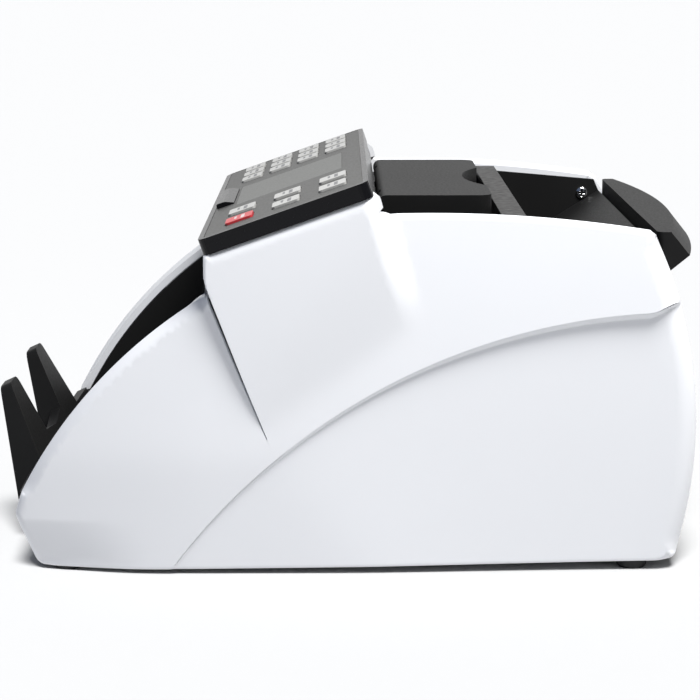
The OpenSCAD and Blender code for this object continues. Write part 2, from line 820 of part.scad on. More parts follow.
module panel_housing() {
    window = window_box(1);
    pocket = -overlay_t;
    ear = hinge_axis;
    ear_turns = [0:30:180];
    color(black) {
        on_panel()
            front_pad(0);
        difference() {
            union() {
                on_panel()
                    translate([0, 0, -panel_t])
                        linear_extrude(panel_t)
                            polygon(rounded_box([-half_w, 0], [half_w, panel_l], panel_r));
                on_panel()
                    translate([-inner_x, 4, -panel_t - 9])
                        cube([2 * inner_x, panel_l - 8, 9 + eps]);
                across(-inner_x, inner_x)
                    polygon([
                        panel_back - 0.5 * panel_u, skirt_end, [skirt_end[0], deck_z - 6],
                        [skirt_end[0] - tray_t, deck_z - 6], skirt_end - [tray_t, 2],
                        panel_back_low - 3 * panel_u]);
                for (s = [-1, 1])
                    across(s * ear_x - ear_w / 2, s * ear_x + ear_w / 2)
                        polygon(concat(
                            [for (a = ear_turns) ear + ear_r * [cos(a), sin(a)]],
                            [ear + [-ear_r, -hinge_r - 0.9], [skirt_end[0] - 1, ear[1] - hinge_r - 0.9],
                            [skirt_end[0] - 1, ear[1] - 2 * hinge_r], ear + [ear_r, -2 * hinge_r]]));
            }
            on_panel()
                translate([0, 0, pocket])
                    linear_extrude(5)
                        polygon(rounded_box([-half_w + bezel, bezel], [half_w - bezel, panel_l - bezel], panel_r - 2));
            on_panel()
                translate([-inner_x + 2, 6, -panel_t - 10])
                    cube([2 * inner_x - 4, panel_l - 12, panel_t + 10 - overlay_t - 2.5]);
            on_panel()
                translate([window[0], window[1], -panel_t])
                    cube([window[2] - window[0], window[3] - window[1], 20]);
            on_panel()
                for (k = keys) {
                    translate([k[0] - key_w / 2 - key_gap, k[1] - k[2] / 2 - key_gap, key_floor()])
                        cube([key_w + 2 * key_gap, k[2] + 2 * key_gap, 20]);
                    translate([stem_x(k), k[1], -panel_t])
                        cylinder(h = 9, r = stem_r + key_gap, $fn = 32);
                }
            for (s = [-1, 1])
                rod(ear, hinge_pin_r + run_gap, s * ear_x - ear_w, s * ear_x + ear_w);
        }
    }
}

// Place of a key's stem, kept inside the housing's walls, and the floor under the keys
stem_r = 2.4;
function stem_x(k) = max(min(k[0], inner_x - 5), 5 - inner_x);
function key_floor() = -overlay_t - 1 - key_travel - 0.3;

// Display window's corners in the panel's frame, shrunk by g
function window_box(g) =
    [1.5 - window_w / 2 + g, 38 - window_l / 2 + g, 1.5 + window_w / 2 - g, 38 + window_l / 2 - g];

module keypad_overlay() {
    window = window_box(0);
    edge = bezel + fit_gap;
    color(grey)
        on_panel()
            difference() {
                translate([0, 0, -overlay_t])
                    linear_extrude(overlay_t - 0.1)
                        polygon(rounded_box([-half_w + edge, edge], [half_w - edge, panel_l - edge], panel_r - 2));
                translate([window[0], window[1], -5])
                    cube([window[2] - window[0], window[3] - window[1], 20]);
                for (k = keys)
                    translate([k[0] - key_w / 2 - key_gap, k[1] - k[2] / 2 - key_gap, -5])
                        cube([key_w + 2 * key_gap, k[2] + 2 * key_gap, 20]);
                front_pad(fit_gap);
            }
}

module lcd_window() {
    window = window_box(fit_gap);
    color([0.55, 0.58, 0.56])
        on_panel()
            translate([window[0], window[1], -overlay_t])
                cube([window[2] - window[0], window[3] - window[1], overlay_t - 0.1]);
}

// Height of the display board's top in the panel's frame
function board_top() = -panel_t - 3;

module display_board() {
    window = window_box(1.5);
    color(green)
        on_panel() {
            translate([-inner_x + 2.2, 6.2, board_top() - 1.6])
                cube([2 * inner_x - 4.4, panel_l - 12.4, 1.6]);
            translate([window[0], window[1], board_top() - eps])
                cube([window[2] - window[0], window[3] - window[1], -overlay_t - board_top()]);
            for (k = keys)
                translate([stem_x(k), k[1], board_top() - eps])
                    cylinder(h = 3.2, r = 2.7, $fn = 32);
        }
}

// One key of the block, with the stem that reaches its switch
module key_cap(k, tint) {
    color(tint)
        on_panel() {
            translate([0, 0, -overlay_t - 1])
                linear_extrude(overlay_t + 1 + key_rise)
                    polygon(rounded_box(
                        [k[0] - key_w / 2, k[1] - k[2] / 2], [k[0] + key_w / 2, k[1] + k[2] / 2], 1.2));
            translate([stem_x(k), k[1], board_top() + 3.2 + key_travel + 0.2])
                cylinder(h = -overlay_t - 0.9 - board_top() - 3.4 - key_travel, r = stem_r, $fn = 32);
        }
}

module main_board() {
    x0 = board_x - board_w / 2;
    y0 = transport_axis[0] - 3 - board_l / 2;
    z0 = foot_h + 9.6 - eps;
    color(green) {
        translate([x0, y0, foot_h + 8])
            cube([board_w, board_l, 1.6]);
        for (x = [x0 + 6, x0 + board_w - 6])
            for (y = [y0 + 6, y0 + board_l - 6])
                translate([x, y, foot_h + 2])
                    cylinder(h = 6 + eps, r = 3, $fn = 32);
        translate([x0 + board_w * 0.2, y0 + board_l * 0.22, z0])
            cube([22, 22, 2.4]);
        for (t = [0.48, 0.58, 0.68])
            translate([x0 + board_w * t, y0 + board_l * 0.75, z0])
                cylinder(h = 14, r = 5, $fn = 32);
        translate([x0 + board_w * 0.76, y0 + board_l * 0.13, z0])
            cube([24, 8, 9]);
    }
}

module power_supply() {
    x0 = supply_gap - wall_x;
    y0 = tail_y - 48 - supply_l / 2;
    color(steel) {
        translate([x0, y0, foot_h + 2])
            cube([supply_w, supply_l, 4]);
        translate([x0 + 2, y0 + 4, foot_h + 2])
            cube([supply_w * 0.26, supply_l - 8, supply_h]);
        translate([x0 + supply_w * 0.37, y0 + 6, foot_h + 6 - eps])
            cube([supply_w * 0.53, supply_l - 12, supply_h - 4]);
    }
}

module power_inlet() {
    y = tail_y + 1;
    color(black)
        difference() {
            union() {
                translate([inlet_x - 13.8, y - socket_d - 4, rear_z - 10])
                    cube([27.6, socket_d + 4, 20]);
                translate([inlet_x - 15.5, y, rear_z - 12.4])
                    cube([31, 2.5, 24.8]);
            }
            translate([0, y + 2.5 - socket_d, 0])
                rotate([90, 0, 0])
                    translate([inlet_x, rear_z, -socket_d - 5])
                        linear_extrude(socket_d + 5)
                            polygon([
                                [-socket_w / 2, socket_h / 2], [socket_w / 2, socket_h / 2],
                                [socket_w / 2, -socket_h / 2 + 4.5], [socket_w / 2 - 4.5, -socket_h / 2],
                                [-socket_w / 2 + 4.5, -socket_h / 2], [-socket_w / 2, -socket_h / 2 + 4.5]]);
        }
    color(steel)
        for (p = [[-7, -1], [7, -1], [0, 3]])
            translate([inlet_x + p[0] - 1, y + 2 - socket_d, rear_z + p[1] - 2])
                cube([2, socket_d - 3.5, 4]);
}

// Switch axis in the Y-Z plane
function rocker_axis() = [tail_y - 1, rear_z];

module power_rocker() {
    a = rocker_axis();
    color(black)
        translate([switch_x, a[0], a[1]])
            rotate([-rocker_tilt, 0, 0]) {
                across(-6, 6)
                    polygon([[-3, -5], [3.2, -8], [4.6, -8], [3.4, 0], [4.6, 8], [3.2, 8], [-3, 5]]);
                rod([0, 0], 1.6, -6.5, 6.5);
            }
}

module motor(axis, r, x0, x1) {
    difference() {
        union() {
            rod(axis, r, x0, x1);
            rod(axis, r - 4, x0 - 2.5, x0 + eps);
        }
        rod(axis, rotor_r + run_gap, x1 - 14, x1 + 1);
    }
}

module main_motor() {
    color(steel)
        motor(main_motor_axis, main_motor_r, wall_x - main_motor_l, wall_x);
}

module stacker_motor() {
    color(steel)
        mirror([1, 0, 0])
            motor(stacker_motor_axis, stacker_motor_r, wall_x - stacker_motor_l, wall_x);
}

module shaft_bearings() {
    color(steel)
        for (a = [feed_axis, pickup_axis, transport_axis, wheel_axis])
            for (s = [-1, 1])
                mirror([s > 0 ? 0 : 1, 0, 0])
                    difference() {
                        rod(a, bearing_r - run_gap, wall_x - 3, frame_x + 0.8);
                        rod(a, shaft_r + run_gap, wall_x - 9, frame_x + 9);
                    }
}

module belt(p, rp, q, rq, x0) {
    gap = move_gap;
    difference() {
        across(x0, x0 + belt_w)
            polygon(belt_loop(p, rp + gap + belt_t, q, rq + gap + belt_t));
        across(x0 - 1, x0 + belt_w + 1)
            polygon(belt_loop(p, rp + gap, q, rq + gap));
    }
}

module drive_belts() {
    color(rubber) {
        belt(main_motor_axis, main_pulley_r, feed_axis, feed_pulley_r, lane_a);
        mirror([1, 0, 0]) {
            belt(feed_axis, pickup_pulley_r, pickup_axis, pickup_pulley_r, lane_a);
            belt(feed_axis, feed_pulley_r, transport_axis, transport_pulley_r, lane_b);
            belt(wheel_axis, stacker_pulley_r, stacker_motor_axis, stacker_drive_r, lane_a);
        }
    }
}

module feed_shaft() {
    color(steel) {
        rod(feed_axis, shaft_r, -lane_b - belt_w - 0.4, lane_a + belt_w + 0.6);
        rod(feed_axis, feed_pulley_r, lane_a - 0.2, lane_a + belt_w + 0.2);
        rod(feed_axis, pickup_pulley_r, -lane_a - belt_w - 0.2, -lane_a + 0.2);
        rod(feed_axis, feed_pulley_r, -lane_b - belt_w - 0.2, -lane_b + 0.2);
    }
}

module feed_rollers() {
    color(rubber)
        for (x = [-feed_roller_x, feed_roller_x])
            difference() {
                rod(feed_axis, feed_r, x - feed_roller_w / 2, x + feed_roller_w / 2);
                rod(feed_axis, shaft_r, x - 20, x + 20);
            }
}

module pickup_shaft() {
    color(steel) {
        rod(pickup_axis, shaft_r, -lane_a - belt_w - 0.6, frame_x + 2);
        rod(pickup_axis, pickup_pulley_r, -lane_a - belt_w - 0.2, -lane_a + 0.2);
    }
}

module pickup_rollers() {
    color(rubber)
        for (x = [-pickup_pitch, 0, pickup_pitch])
            difference() {
                rod(pickup_axis, pickup_r, x - pickup_roller_w / 2, x + pickup_roller_w / 2);
                rod(pickup_axis, shaft_r, x - 20, x + 20);
            }
}

module transport_roller() {
    color(rubber) {
        rod(transport_axis, shaft_r, -lane_b - belt_w - 0.4, frame_x + 2);
        rod(transport_axis, transport_pulley_r, -lane_b - belt_w - 0.2, -lane_b + 0.2);
        for (x = transport_pitch * [-1.5, -0.5, 0.5, 1.5])
            rod(transport_axis, transport_r, x - transport_roller_w / 2, x + transport_roller_w / 2);
    }
}

module stacker_shaft() {
    color(steel) {
        rod(wheel_axis, shaft_r, -lane_a - belt_w - 0.6, frame_x + 2);
        rod(wheel_axis, stacker_pulley_r, -lane_a - belt_w - 0.2, -lane_a + 0.2);
    }
}

// Curved fin number i of a stacker wheel
function fin_points(i) =
    let (n = 7)
    let (path = [for (t = [0:n]) let (r = 9 + (wheel_r - 9) * t / n)
        let (a = 360 / fin_count * i + 85 * t / n) r * [cos(a), sin(a)]])
    concat(path, reversed(shifted(path, 1.8)));

module stacker_wheels() {
    color(rubber)
        for (x = [-wheel_x, wheel_x])
            difference() {
                union() {
                    rod(wheel_axis, 11, x - wheel_w / 2, x + wheel_w / 2);
                    translate([0, wheel_axis[0], wheel_axis[1]])
                        for (i = [1:fin_count])
                            across(x - wheel_w / 2 + 1, x + wheel_w / 2 - 1)
                                polygon(fin_points(i));
                }
                rod(wheel_axis, shaft_r, x - 20, x + 20);
            }
}

module main_motor_pulley() {
    color(steel) {
        rod(main_motor_axis, rotor_r, wall_x - 12, lane_a + belt_w + 0.6);
        rod(main_motor_axis, main_pulley_r, lane_a - 0.2, lane_a + belt_w + 0.2);
    }
}

module stacker_motor_pulley() {
    color(steel)
        mirror([1, 0, 0]) {
            rod(stacker_motor_axis, rotor_r, wall_x - 12, lane_a + belt_w + 0.6);
            rod(stacker_motor_axis, stacker_drive_r, lane_a - 0.2, lane_a + belt_w + 0.2);
        }
}

// Top of the retard beam
function beam_z() = retard_axis[1] + 26;

module retard_beam() {
    y = retard_axis[0];
    color(steel)
        difference() {
            translate([-wall_x, y - 9, beam_z() - 3])
                cube([2 * wall_x, 18, 3]);
            translate([0, y, beam_z() - 9])
                cylinder(h = 20, r = 2 + run_gap, $fn = 48);
            for (x = [-20, 20])
                translate([x, y, beam_z() - 9])
                    cylinder(h = 20, r = 2.5 + run_gap, $fn = 48);
        }
}

module retard_carriage() {
    y = retard_axis[0];
    z = retard_axis[1];
    color(grey)
        difference() {
            union() {
                translate([-28, y - 6, beam_z() - 12])
                    cube([56, 12, 7]);
                for (x = [-28, 24])
                    translate([x, y - 6, z - 5])
                        cube([4, 12, beam_z() - 11 - z + 5]);
                for (x = [-20, 20])
                    translate([x, y, beam_z() - 6])
                        cylinder(h = 8, r = 2.5, $fn = 48);
            }
            translate([0, y, beam_z() - 20])
                cylinder(h = 30, r = 2 + run_gap, $fn = 48);
        }
}

module retard_rollers() {
    color(rubber) {
        for (x = [-retard_roller_x, retard_roller_x])
            rod(retard_axis, retard_r, x - retard_roller_w / 2, x + retard_roller_w / 2);
        rod(retard_axis, 2.5, -24 + eps, 24 - eps);
    }
}

module adjust_knob() {
    y = retard_axis[0];
    color(black) {
        translate([0, y, beam_z() + 0.4])
            difference() {
                cylinder(h = 7, r = 9, $fn = 64);
                translate([-0.7, 3, 6])
                    cube([1.4, 8, 3]);
            }
        translate([0, y, beam_z() - 11])
            cylinder(h = 12, r = 2, $fn = 48);
    }
}

module feed_cover() {
    y0 = hinge_axis[0] - hinge_r;
    y1 = lid_back;
    x1 = feed_cover_x;
    notch_r = lid_notch_w * lid_notch_w / 8 / lid_notch_d + lid_notch_d / 2;
    low = deck_z + 0.2;
    color(black) {
        difference() {
            union() {
                translate([0, 0, low])
                    linear_extrude(lid_top - low)
                        polygon(concat(
                            [[-x1, hinge_axis[0]], [x1, hinge_axis[0]]],
                            fillet([x1, y0], [x1, y1], [-x1, y1], 6),
                            fillet([x1, y1], [-x1, y1], [-x1, y0], 6)));
                rod(hinge_axis, hinge_r, -x1, x1);
            }
            translate([-x1 + 3, y0 + hinge_r + 5, low - 1])
                cube([2 * x1 - 6, y1 - y0 - hinge_r - 15, lid_top - low - 2]);
            translate([0, y1 - lid_notch_d + notch_r, low - 1])
                cylinder(h = 40, r = notch_r, $fn = 180);
            for (s = [-1, 1])
                translate([s * ear_x - ear_w / 2 - 0.5, y0 - 1, low - 1])
                    cube([ear_w + 1, 2 * hinge_r + 3, hinge_axis[1] + ear_r + 0.2 - low + 1]);
        }
        for (s = [-1, 1])
            rod(hinge_axis, hinge_pin_r, s * ear_x - ear_w / 2 - 1, s * ear_x + ear_w / 2 + 1);
    }
}

base_pan();
side_frame_left();
side_frame_right();
side_cover_left();
side_cover_right();
front_apron();
back_cover();
stacker_tray();
stacker_back_plate();
stacker_stop();
hopper_tray();
hopper_rest();
feed_gate();
panel_housing();
keypad_overlay();
lcd_window();
display_board();
main_board();
power_supply();
power_inlet();
main_motor();
stacker_motor();
shaft_bearings();
retard_beam();
drive_belts();
rubber_feet();
case_screws();
hopper_screws();
feed_cover();
adjust_knob();
retard_carriage();
retard_rollers();
pickup_shaft();
pickup_rollers();
feed_shaft();
feed_rollers();
transport_roller();
stacker_shaft();
stacker_wheels();
main_motor_pulley();
stacker_motor_pulley();
power_rocker();
for (i = [0:len(keys) - 1])
    key_cap(keys[i], key_names[i] == "start_key" ? [0.75, 0.10, 0.08] : [0.85, 0.86, 0.86]);
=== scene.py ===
"""Looks of the desktop banknote counter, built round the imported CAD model.

Lengths are in mm and become metres, by MM, where a mesh is made. The camera, the lights
and the floor are set in metres. The right cover is drawn, and the left one mirrors it.
"""

import json
import math

import bpy
import numpy as np
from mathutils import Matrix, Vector
from mathutils.geometry import delaunay_2d_cdt


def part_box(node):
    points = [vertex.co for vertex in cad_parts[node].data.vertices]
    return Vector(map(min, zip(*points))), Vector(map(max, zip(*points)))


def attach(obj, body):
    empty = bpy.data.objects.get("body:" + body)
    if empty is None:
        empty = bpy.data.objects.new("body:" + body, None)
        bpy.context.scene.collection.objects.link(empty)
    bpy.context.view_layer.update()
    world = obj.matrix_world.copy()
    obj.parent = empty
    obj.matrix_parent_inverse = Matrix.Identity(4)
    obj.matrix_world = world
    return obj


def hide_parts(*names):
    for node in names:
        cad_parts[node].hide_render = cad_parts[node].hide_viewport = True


MM = 0.001

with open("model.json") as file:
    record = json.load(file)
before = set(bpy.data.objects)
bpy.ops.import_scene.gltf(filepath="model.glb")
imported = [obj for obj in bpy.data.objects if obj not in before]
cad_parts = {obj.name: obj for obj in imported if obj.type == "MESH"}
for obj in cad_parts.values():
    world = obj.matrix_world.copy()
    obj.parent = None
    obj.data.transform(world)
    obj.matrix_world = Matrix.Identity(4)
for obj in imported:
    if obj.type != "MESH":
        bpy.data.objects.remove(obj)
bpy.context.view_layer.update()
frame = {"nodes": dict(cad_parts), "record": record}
nodes = frame["nodes"]
record = frame["record"]
slot_of = {part["node"]: part["material_slot"] for part in record["subparts"]}
body_of = {node: body for body, members in record["behaviour"]["bodies"].items() for node in members}
scene = bpy.context.scene

# Sizes shared with the CAD source
WALL_X = 105.5
FOOT_H = 4.5
NOSE = (-141.5, 25.0)
TAIL_Y = 148.5
CREST_Z = 153.6
PANEL_FRONT = np.array([-61.5, 143.7])
PANEL_SLOPE = math.radians(19.3)
PANEL_L = 75.0
PANEL_T = 7.0
PANEL_U = np.array([math.cos(PANEL_SLOPE), math.sin(PANEL_SLOPE)])
PANEL_N = np.array([-math.sin(PANEL_SLOPE), math.cos(PANEL_SLOPE)])
PANEL_FRONT_LOW = PANEL_FRONT - PANEL_T * PANEL_N
PANEL_BACK_LOW = PANEL_FRONT + PANEL_L * PANEL_U - PANEL_T * PANEL_N


# Objects and shader nodes

def add_object(name, data):
    """New object in the scene."""
    made = bpy.data.objects.new(name, data)
    scene.collection.objects.link(made)
    return made


def set_inputs(node, values):
    """Sets a shader node's inputs by name."""
    for name, value in values.items():
        node.inputs[name].default_value = value


def map_range(tree, value, from_range, to_range=(0.0, 1.0), interpolation="LINEAR"):
    """Value carried from one range to another."""
    node = tree.nodes.new("ShaderNodeMapRange")
    node.interpolation_type = interpolation
    set_inputs(node, {
        "From Min": from_range[0], "From Max": from_range[1],
        "To Min": to_range[0], "To Max": to_range[1]})
    tree.links.new(value, node.inputs["Value"])
    return node.outputs["Result"]


def mix_colours(tree, factor, a, b):
    """Colour a where factor is 0 and b where it is 1; a and b are colours or sockets."""
    node = tree.nodes.new("ShaderNodeMix")
    node.data_type = "RGBA"
    tree.links.new(factor, node.inputs["Factor"])
    for socket, value in ((node.inputs["A"], a), (node.inputs["B"], b)):
        if isinstance(value, tuple):
            socket.default_value = (*value, 1.0)
        else:
            tree.links.new(value, socket)
    return node.outputs["Result"]


# Camera, floor and light

# The photograph's view, fitted to its perspective, with the angles in degrees
CAMERA_PLACE = (1.0022, -0.00227, 0.26927)
CAMERA_DIP = 11.03
CAMERA_TURN = 0.26
CAMERA_SENSOR = 36.0
CAMERA_LENS = 110.47
CAMERA_CLIP = (0.05, 60.0)

# Colours of the surround, and where along a direction's Y and X one turns into the next
STACKER_SIDE = (0.07, 0.10, 0.17)
HOPPER_SIDE = (0.15, 0.155, 0.165)
BEHIND_PART = (0.92, 0.92, 0.92)
SIDES_TURN = (-0.7, 0.6)
BEHIND_TURN = (-0.85, -0.35)

FLOOR_REACH = 14.0
FLOOR_COLOUR = (0.36, 0.36, 0.36, 1.0)


def add_camera():
    """Camera at the photograph's view."""
    data = bpy.data.cameras.new("photo_camera")
    data.sensor_width = CAMERA_SENSOR
    data.lens = CAMERA_LENS
    data.clip_start, data.clip_end = CAMERA_CLIP
    camera = add_object("photo_camera", data)
    camera.location = CAMERA_PLACE
    camera.rotation_euler = (math.radians(90 - CAMERA_DIP), 0.0, math.radians(90 - CAMERA_TURN))
    scene.camera = camera


def add_area_light(name, place, target, size, power, tint):
    """Square soft box that faces a target point."""
    data = bpy.data.lights.new(name, "AREA")
    data.shape = "SQUARE"
    data.size = size
    data.energy = power
    data.color = tint
    light = add_object(name, data)
    light.location = place
    light.rotation_euler = (Vector(target) - Vector(place)).to_track_quat("-Z", "Y").to_euler()
    return light


def add_sun(name, direction, strength, spread):
    """Even light from one direction, softened by its spread in degrees."""
    data = bpy.data.lights.new(name, "SUN")
    data.energy = strength
    data.angle = math.radians(spread)
    light = add_object(name, data)
    light.rotation_euler = Vector(direction).to_track_quat("Z", "Y").to_euler()
    return light


def add_world():
    """Dim surround with a bright patch behind the part, cooler on the stacker's side."""
    world = bpy.data.worlds.new("studio")
    scene.world = world
    world.use_nodes = True
    tree = world.node_tree
    split = tree.nodes.new("ShaderNodeSeparateXYZ")
    tree.links.new(tree.nodes.new("ShaderNodeTexCoord").outputs["Generated"], split.inputs[0])

    def turn(axis, limits):
        return map_range(tree, split.outputs[axis], limits, interpolation="SMOOTHSTEP")

    sides = mix_colours(tree, turn("Y", SIDES_TURN), STACKER_SIDE, HOPPER_SIDE)
    surround = mix_colours(tree, turn("X", BEHIND_TURN), BEHIND_PART, sides)
    background = tree.nodes["Background"]
    background.inputs["Strength"].default_value = 1.0
    tree.links.new(surround, background.inputs["Color"])


def add_floor():
    """Plain pale floor that runs past the picture's edges."""
    mesh = bpy.data.meshes.new("floor")
    r = FLOOR_REACH
    mesh.from_pydata([(-r, -r, 0), (r, -r, 0), (r, r, 0), (-r, r, 0)], [], [(0, 1, 2, 3)])
    made = add_object("floor", mesh)
    material = bpy.data.materials.new("floor_paper")
    material.use_nodes = True
    set_inputs(material.node_tree.nodes["Principled BSDF"], {
        "Base Color": FLOOR_COLOUR, "Roughness": 0.9, "Specular IOR Level": 0.1})
    mesh.materials.append(material)
    return made


def light_only(light, pieces):
    """Limits a light to some pieces."""
    group = bpy.data.collections.new(light.name + "_receivers")
    for piece in pieces:
        group.objects.link(piece)
    light.light_linking.receiver_collection = group


scene.view_settings.view_transform = "Standard"
add_camera()
add_world()
floor = add_floor()
floor_light = add_sun("floor_light", direction=(0.50, 0.03, 0.86), strength=9.0, spread=20.0)
key_light = add_area_light(
    "key_light", place=(0.34, 0.28, 1.0), target=(0.0, 0.0, 0.08),
    size=0.45, power=22.0, tint=(1.0, 0.995, 0.985))
light_only(floor_light, [floor])


# Materials

# The part of a noise's values that is spread over a material's range
NOISE_RANGE = (0.3, 0.7)


class Surface:
    """A Principled material whose colour, roughness and bump vary by procedural noise."""

    def __init__(self, name, metallic=0.0, specular=0.5, coat=0.0, coat_roughness=0.1):
        self.material = bpy.data.materials.new(name)
        self.material.use_nodes = True
        self.tree = self.material.node_tree
        self.shader = self.tree.nodes["Principled BSDF"]
        set_inputs(self.shader, {
            "Metallic": metallic, "Specular IOR Level": specular,
            "Coat Weight": coat, "Coat Roughness": coat_roughness})
        self.where = self.tree.nodes.new("ShaderNodeTexCoord").outputs["Object"]

    def link(self, source, target):
        self.tree.links.new(source, target)

    def noise(self, scale, detail=3.0, stretch=(1.0, 1.0, 1.0)):
        """Noise of a given scale per metre, drawn out along an axis by stretch."""
        mapping = self.tree.nodes.new("ShaderNodeMapping")
        set_inputs(mapping, {"Scale": stretch})
        noise = self.tree.nodes.new("ShaderNodeTexNoise")
        set_inputs(noise, {"Scale": scale, "Detail": detail})
        self.link(self.where, mapping.inputs["Vector"])
        self.link(mapping.outputs["Vector"], noise.inputs["Vector"])
        return noise.outputs["Fac"]

    def vary_colour(self, colour, tint, scale=14.0):
        """Soft patches of a lighter and a darker colour."""
        light = tuple(min(1.0, c * (1 + tint)) for c in colour)
        dark = tuple(c * (1 - tint) for c in colour)
        patches = map_range(self.tree, self.noise(scale), NOISE_RANGE)
        self.link(mix_colours(self.tree, patches, dark, light), self.shader.inputs["Base Color"])

    def vary_roughness(self, roughness, spread, scale=900.0):
        """Finer patches of roughness."""
        reach = (roughness - spread, roughness + spread)
        rough = map_range(self.tree, self.noise(scale, detail=4.0), NOISE_RANGE, reach)
        self.link(rough, self.shader.inputs["Roughness"])

    def bump(self, height, strength, distance):
        """Fine relief, its distance in metres."""
        node = self.tree.nodes.new("ShaderNodeBump")
        set_inputs(node, {"Strength": strength, "Distance": distance})
        self.link(height, node.inputs["Height"])
        self.link(node.outputs["Normal"], self.shader.inputs["Normal"])


def grained(name, colour, roughness, grain=2600.0, depth=0.00002, tint=0.03, spread=0.05, **finish):
    """Moulded plastic or rubber with a fine grain."""
    surface = Surface(name, **finish)
    surface.vary_colour(colour, tint)
    surface.vary_roughness(roughness, spread)
    surface.bump(surface.noise(grain, detail=2.0), strength=0.35, distance=depth)
    return surface.material


def brushed(name, colour, roughness, stretch, metallic=1.0, **finish):
    """Metal with fine drawn lines."""
    surface = Surface(name, metallic=metallic, **finish)
    surface.vary_colour(colour, tint=0.06, scale=40.0)
    surface.vary_roughness(roughness, spread=0.08, scale=300.0)
    lines = surface.noise(900.0, detail=4.0, stretch=stretch)
    surface.bump(lines, strength=0.25, distance=0.00002)
    return surface.material


def circuit(name, board, copper, roughness):
    """Board with paler copper lanes under the lacquer."""
    surface = Surface(name, coat=0.4)
    surface.vary_roughness(roughness, spread=0.05)
    black, white = (0, 0, 0, 1), (1, 1, 1, 1)
    brick = surface.tree.nodes.new("ShaderNodeTexBrick")
    set_inputs(brick, {
        "Scale": 130.0, "Mortar Size": 0.03, "Color1": black, "Color2": black, "Mortar": white})
    surface.link(surface.where, brick.inputs["Vector"])
    lanes = mix_colours(surface.tree, brick.outputs["Color"], board, copper)
    surface.link(lanes, surface.shader.inputs["Base Color"])
    return surface.material


FINISHES = {
    "cover_white": (grained, dict(
        colour=(0.75, 0.76, 0.785), roughness=0.34, grain=3000.0, depth=0.000012,
        tint=0.008, spread=0.04, coat=0.15, coat_roughness=0.2)),
    "black_plastic": (grained, dict(
        colour=(0.009, 0.009, 0.009), roughness=0.5, depth=0.00003,
        tint=0.15, spread=0.05, specular=0.115)),
    "panel_gloss": (grained, dict(
        colour=(0.004, 0.004, 0.005), roughness=0.24, grain=1800.0, depth=0.000006,
        tint=0.15, spread=0.04, specular=0.15)),
    "overlay_grey": (grained, dict(
        colour=(0.048, 0.048, 0.046), roughness=0.45, grain=3600.0, depth=0.000012,
        tint=0.04, spread=0.05, specular=0.31)),
    "gate_metal": (brushed, dict(
        colour=(0.020, 0.0195, 0.019), roughness=0.48, stretch=(0.05, 1.0, 1.0),
        metallic=0.2, specular=0.18)),
    "display_window": (grained, dict(
        colour=(0.062, 0.064, 0.060), roughness=0.36, grain=5000.0, depth=0.000004,
        tint=0.03, spread=0.03, specular=0.26)),
    "circuit_board": (circuit, dict(
        board=(0.010, 0.075, 0.040), copper=(0.030, 0.16, 0.075), roughness=0.35)),
    "plated_steel": (brushed, dict(
        colour=(0.56, 0.57, 0.58), roughness=0.34, stretch=(1.0, 0.08, 1.0))),
    "shaft_steel": (brushed, dict(
        colour=(0.62, 0.62, 0.62), roughness=0.22, stretch=(1.0, 0.05, 0.05))),
    "chrome_screw": (brushed, dict(
        colour=(0.78, 0.78, 0.78), roughness=0.14, stretch=(1.0, 1.0, 1.0))),
    "roller_rubber": (grained, dict(
        colour=(0.022, 0.022, 0.023), roughness=0.72, grain=1400.0, depth=0.00006,
        tint=0.12, specular=0.3)),
    "wheel_plastic": (grained, dict(colour=(0.045, 0.046, 0.048), roughness=0.5, tint=0.08)),
    "key_grey": (grained, dict(colour=(0.34, 0.34, 0.33), roughness=0.4, grain=3200.0, tint=0.02)),
    "key_red": (grained, dict(colour=(0.42, 0.028, 0.035), roughness=0.38, grain=3200.0, tint=0.05)),
    "print_dark": (grained, dict(colour=(0.13, 0.13, 0.135), roughness=0.5, tint=0.05)),
    "print_light": (grained, dict(colour=(0.46, 0.40, 0.40), roughness=0.5, tint=0.03)),
    # Flat black laid on faces as painted shade, in the groove's upper part and in the screws' cross
    # recesses
    "gap_black": (grained, dict(colour=(0.004, 0.004, 0.005), roughness=0.7, tint=0.1)),
}
materials = {name: make(name, **settings) for name, (make, settings) in FINISHES.items()}


# Meshes

def add_mesh(name, points, faces, finishes, node):
    """New piece from points in mm, riding on a CAD node's body."""
    mesh = bpy.data.meshes.new(name)
    mesh.from_pydata([tuple(c * MM for c in p) for p in points], [], faces)
    for finish in finishes:
        mesh.materials.append(materials[finish])
    piece = add_object(name, mesh)
    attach(piece, body_of[node])
    return piece


def shade_smooth(mesh, marks):
    """Smooth shading, with the second material, a painted shade, on the marked faces."""
    mesh.polygons.foreach_set("material_index", [int(mark) for mark in marks])
    mesh.polygons.foreach_set("use_smooth", [True] * len(marks))


# Curves and distances in the side view, where a point is (y, z)

def unit(v):
    return v / np.linalg.norm(v)


def arc_points(centre, r, start, turn, steps):
    """Points of an arc that starts at an angle and runs through a turn."""
    angles = [start + turn * i / steps for i in range(steps + 1)]
    return [centre + r * np.array([math.cos(a), math.sin(a)]) for a in angles]


def fillet(a, b, c, r, steps):
    """Arc that rounds corner b between a and c."""
    a, b, c = (np.array(p, float) for p in (a, b, c))
    u, v = unit(a - b), unit(c - b)
    half = math.acos(float(u @ v)) / 2
    centre = b + unit(u + v) * (r / math.sin(half))
    p = b + u * (r / math.tan(half)) - centre
    q = b + v * (r / math.tan(half)) - centre
    start = math.atan2(p[1], p[0])
    turn = (math.atan2(q[1], q[0]) - start + math.pi) % (2 * math.pi) - math.pi
    return arc_points(centre, r, start, turn, steps)


def arc_centre(p, q, r):
    """Centre of the arc from p to q that bulges to the left of that direction."""
    p, q = np.array(p, float), np.array(q, float)
    half = np.linalg.norm(q - p) / 2
    u = unit(q - p)
    return (p + q) / 2 - np.array([-u[1], u[0]]) * math.sqrt(r * r - half * half)


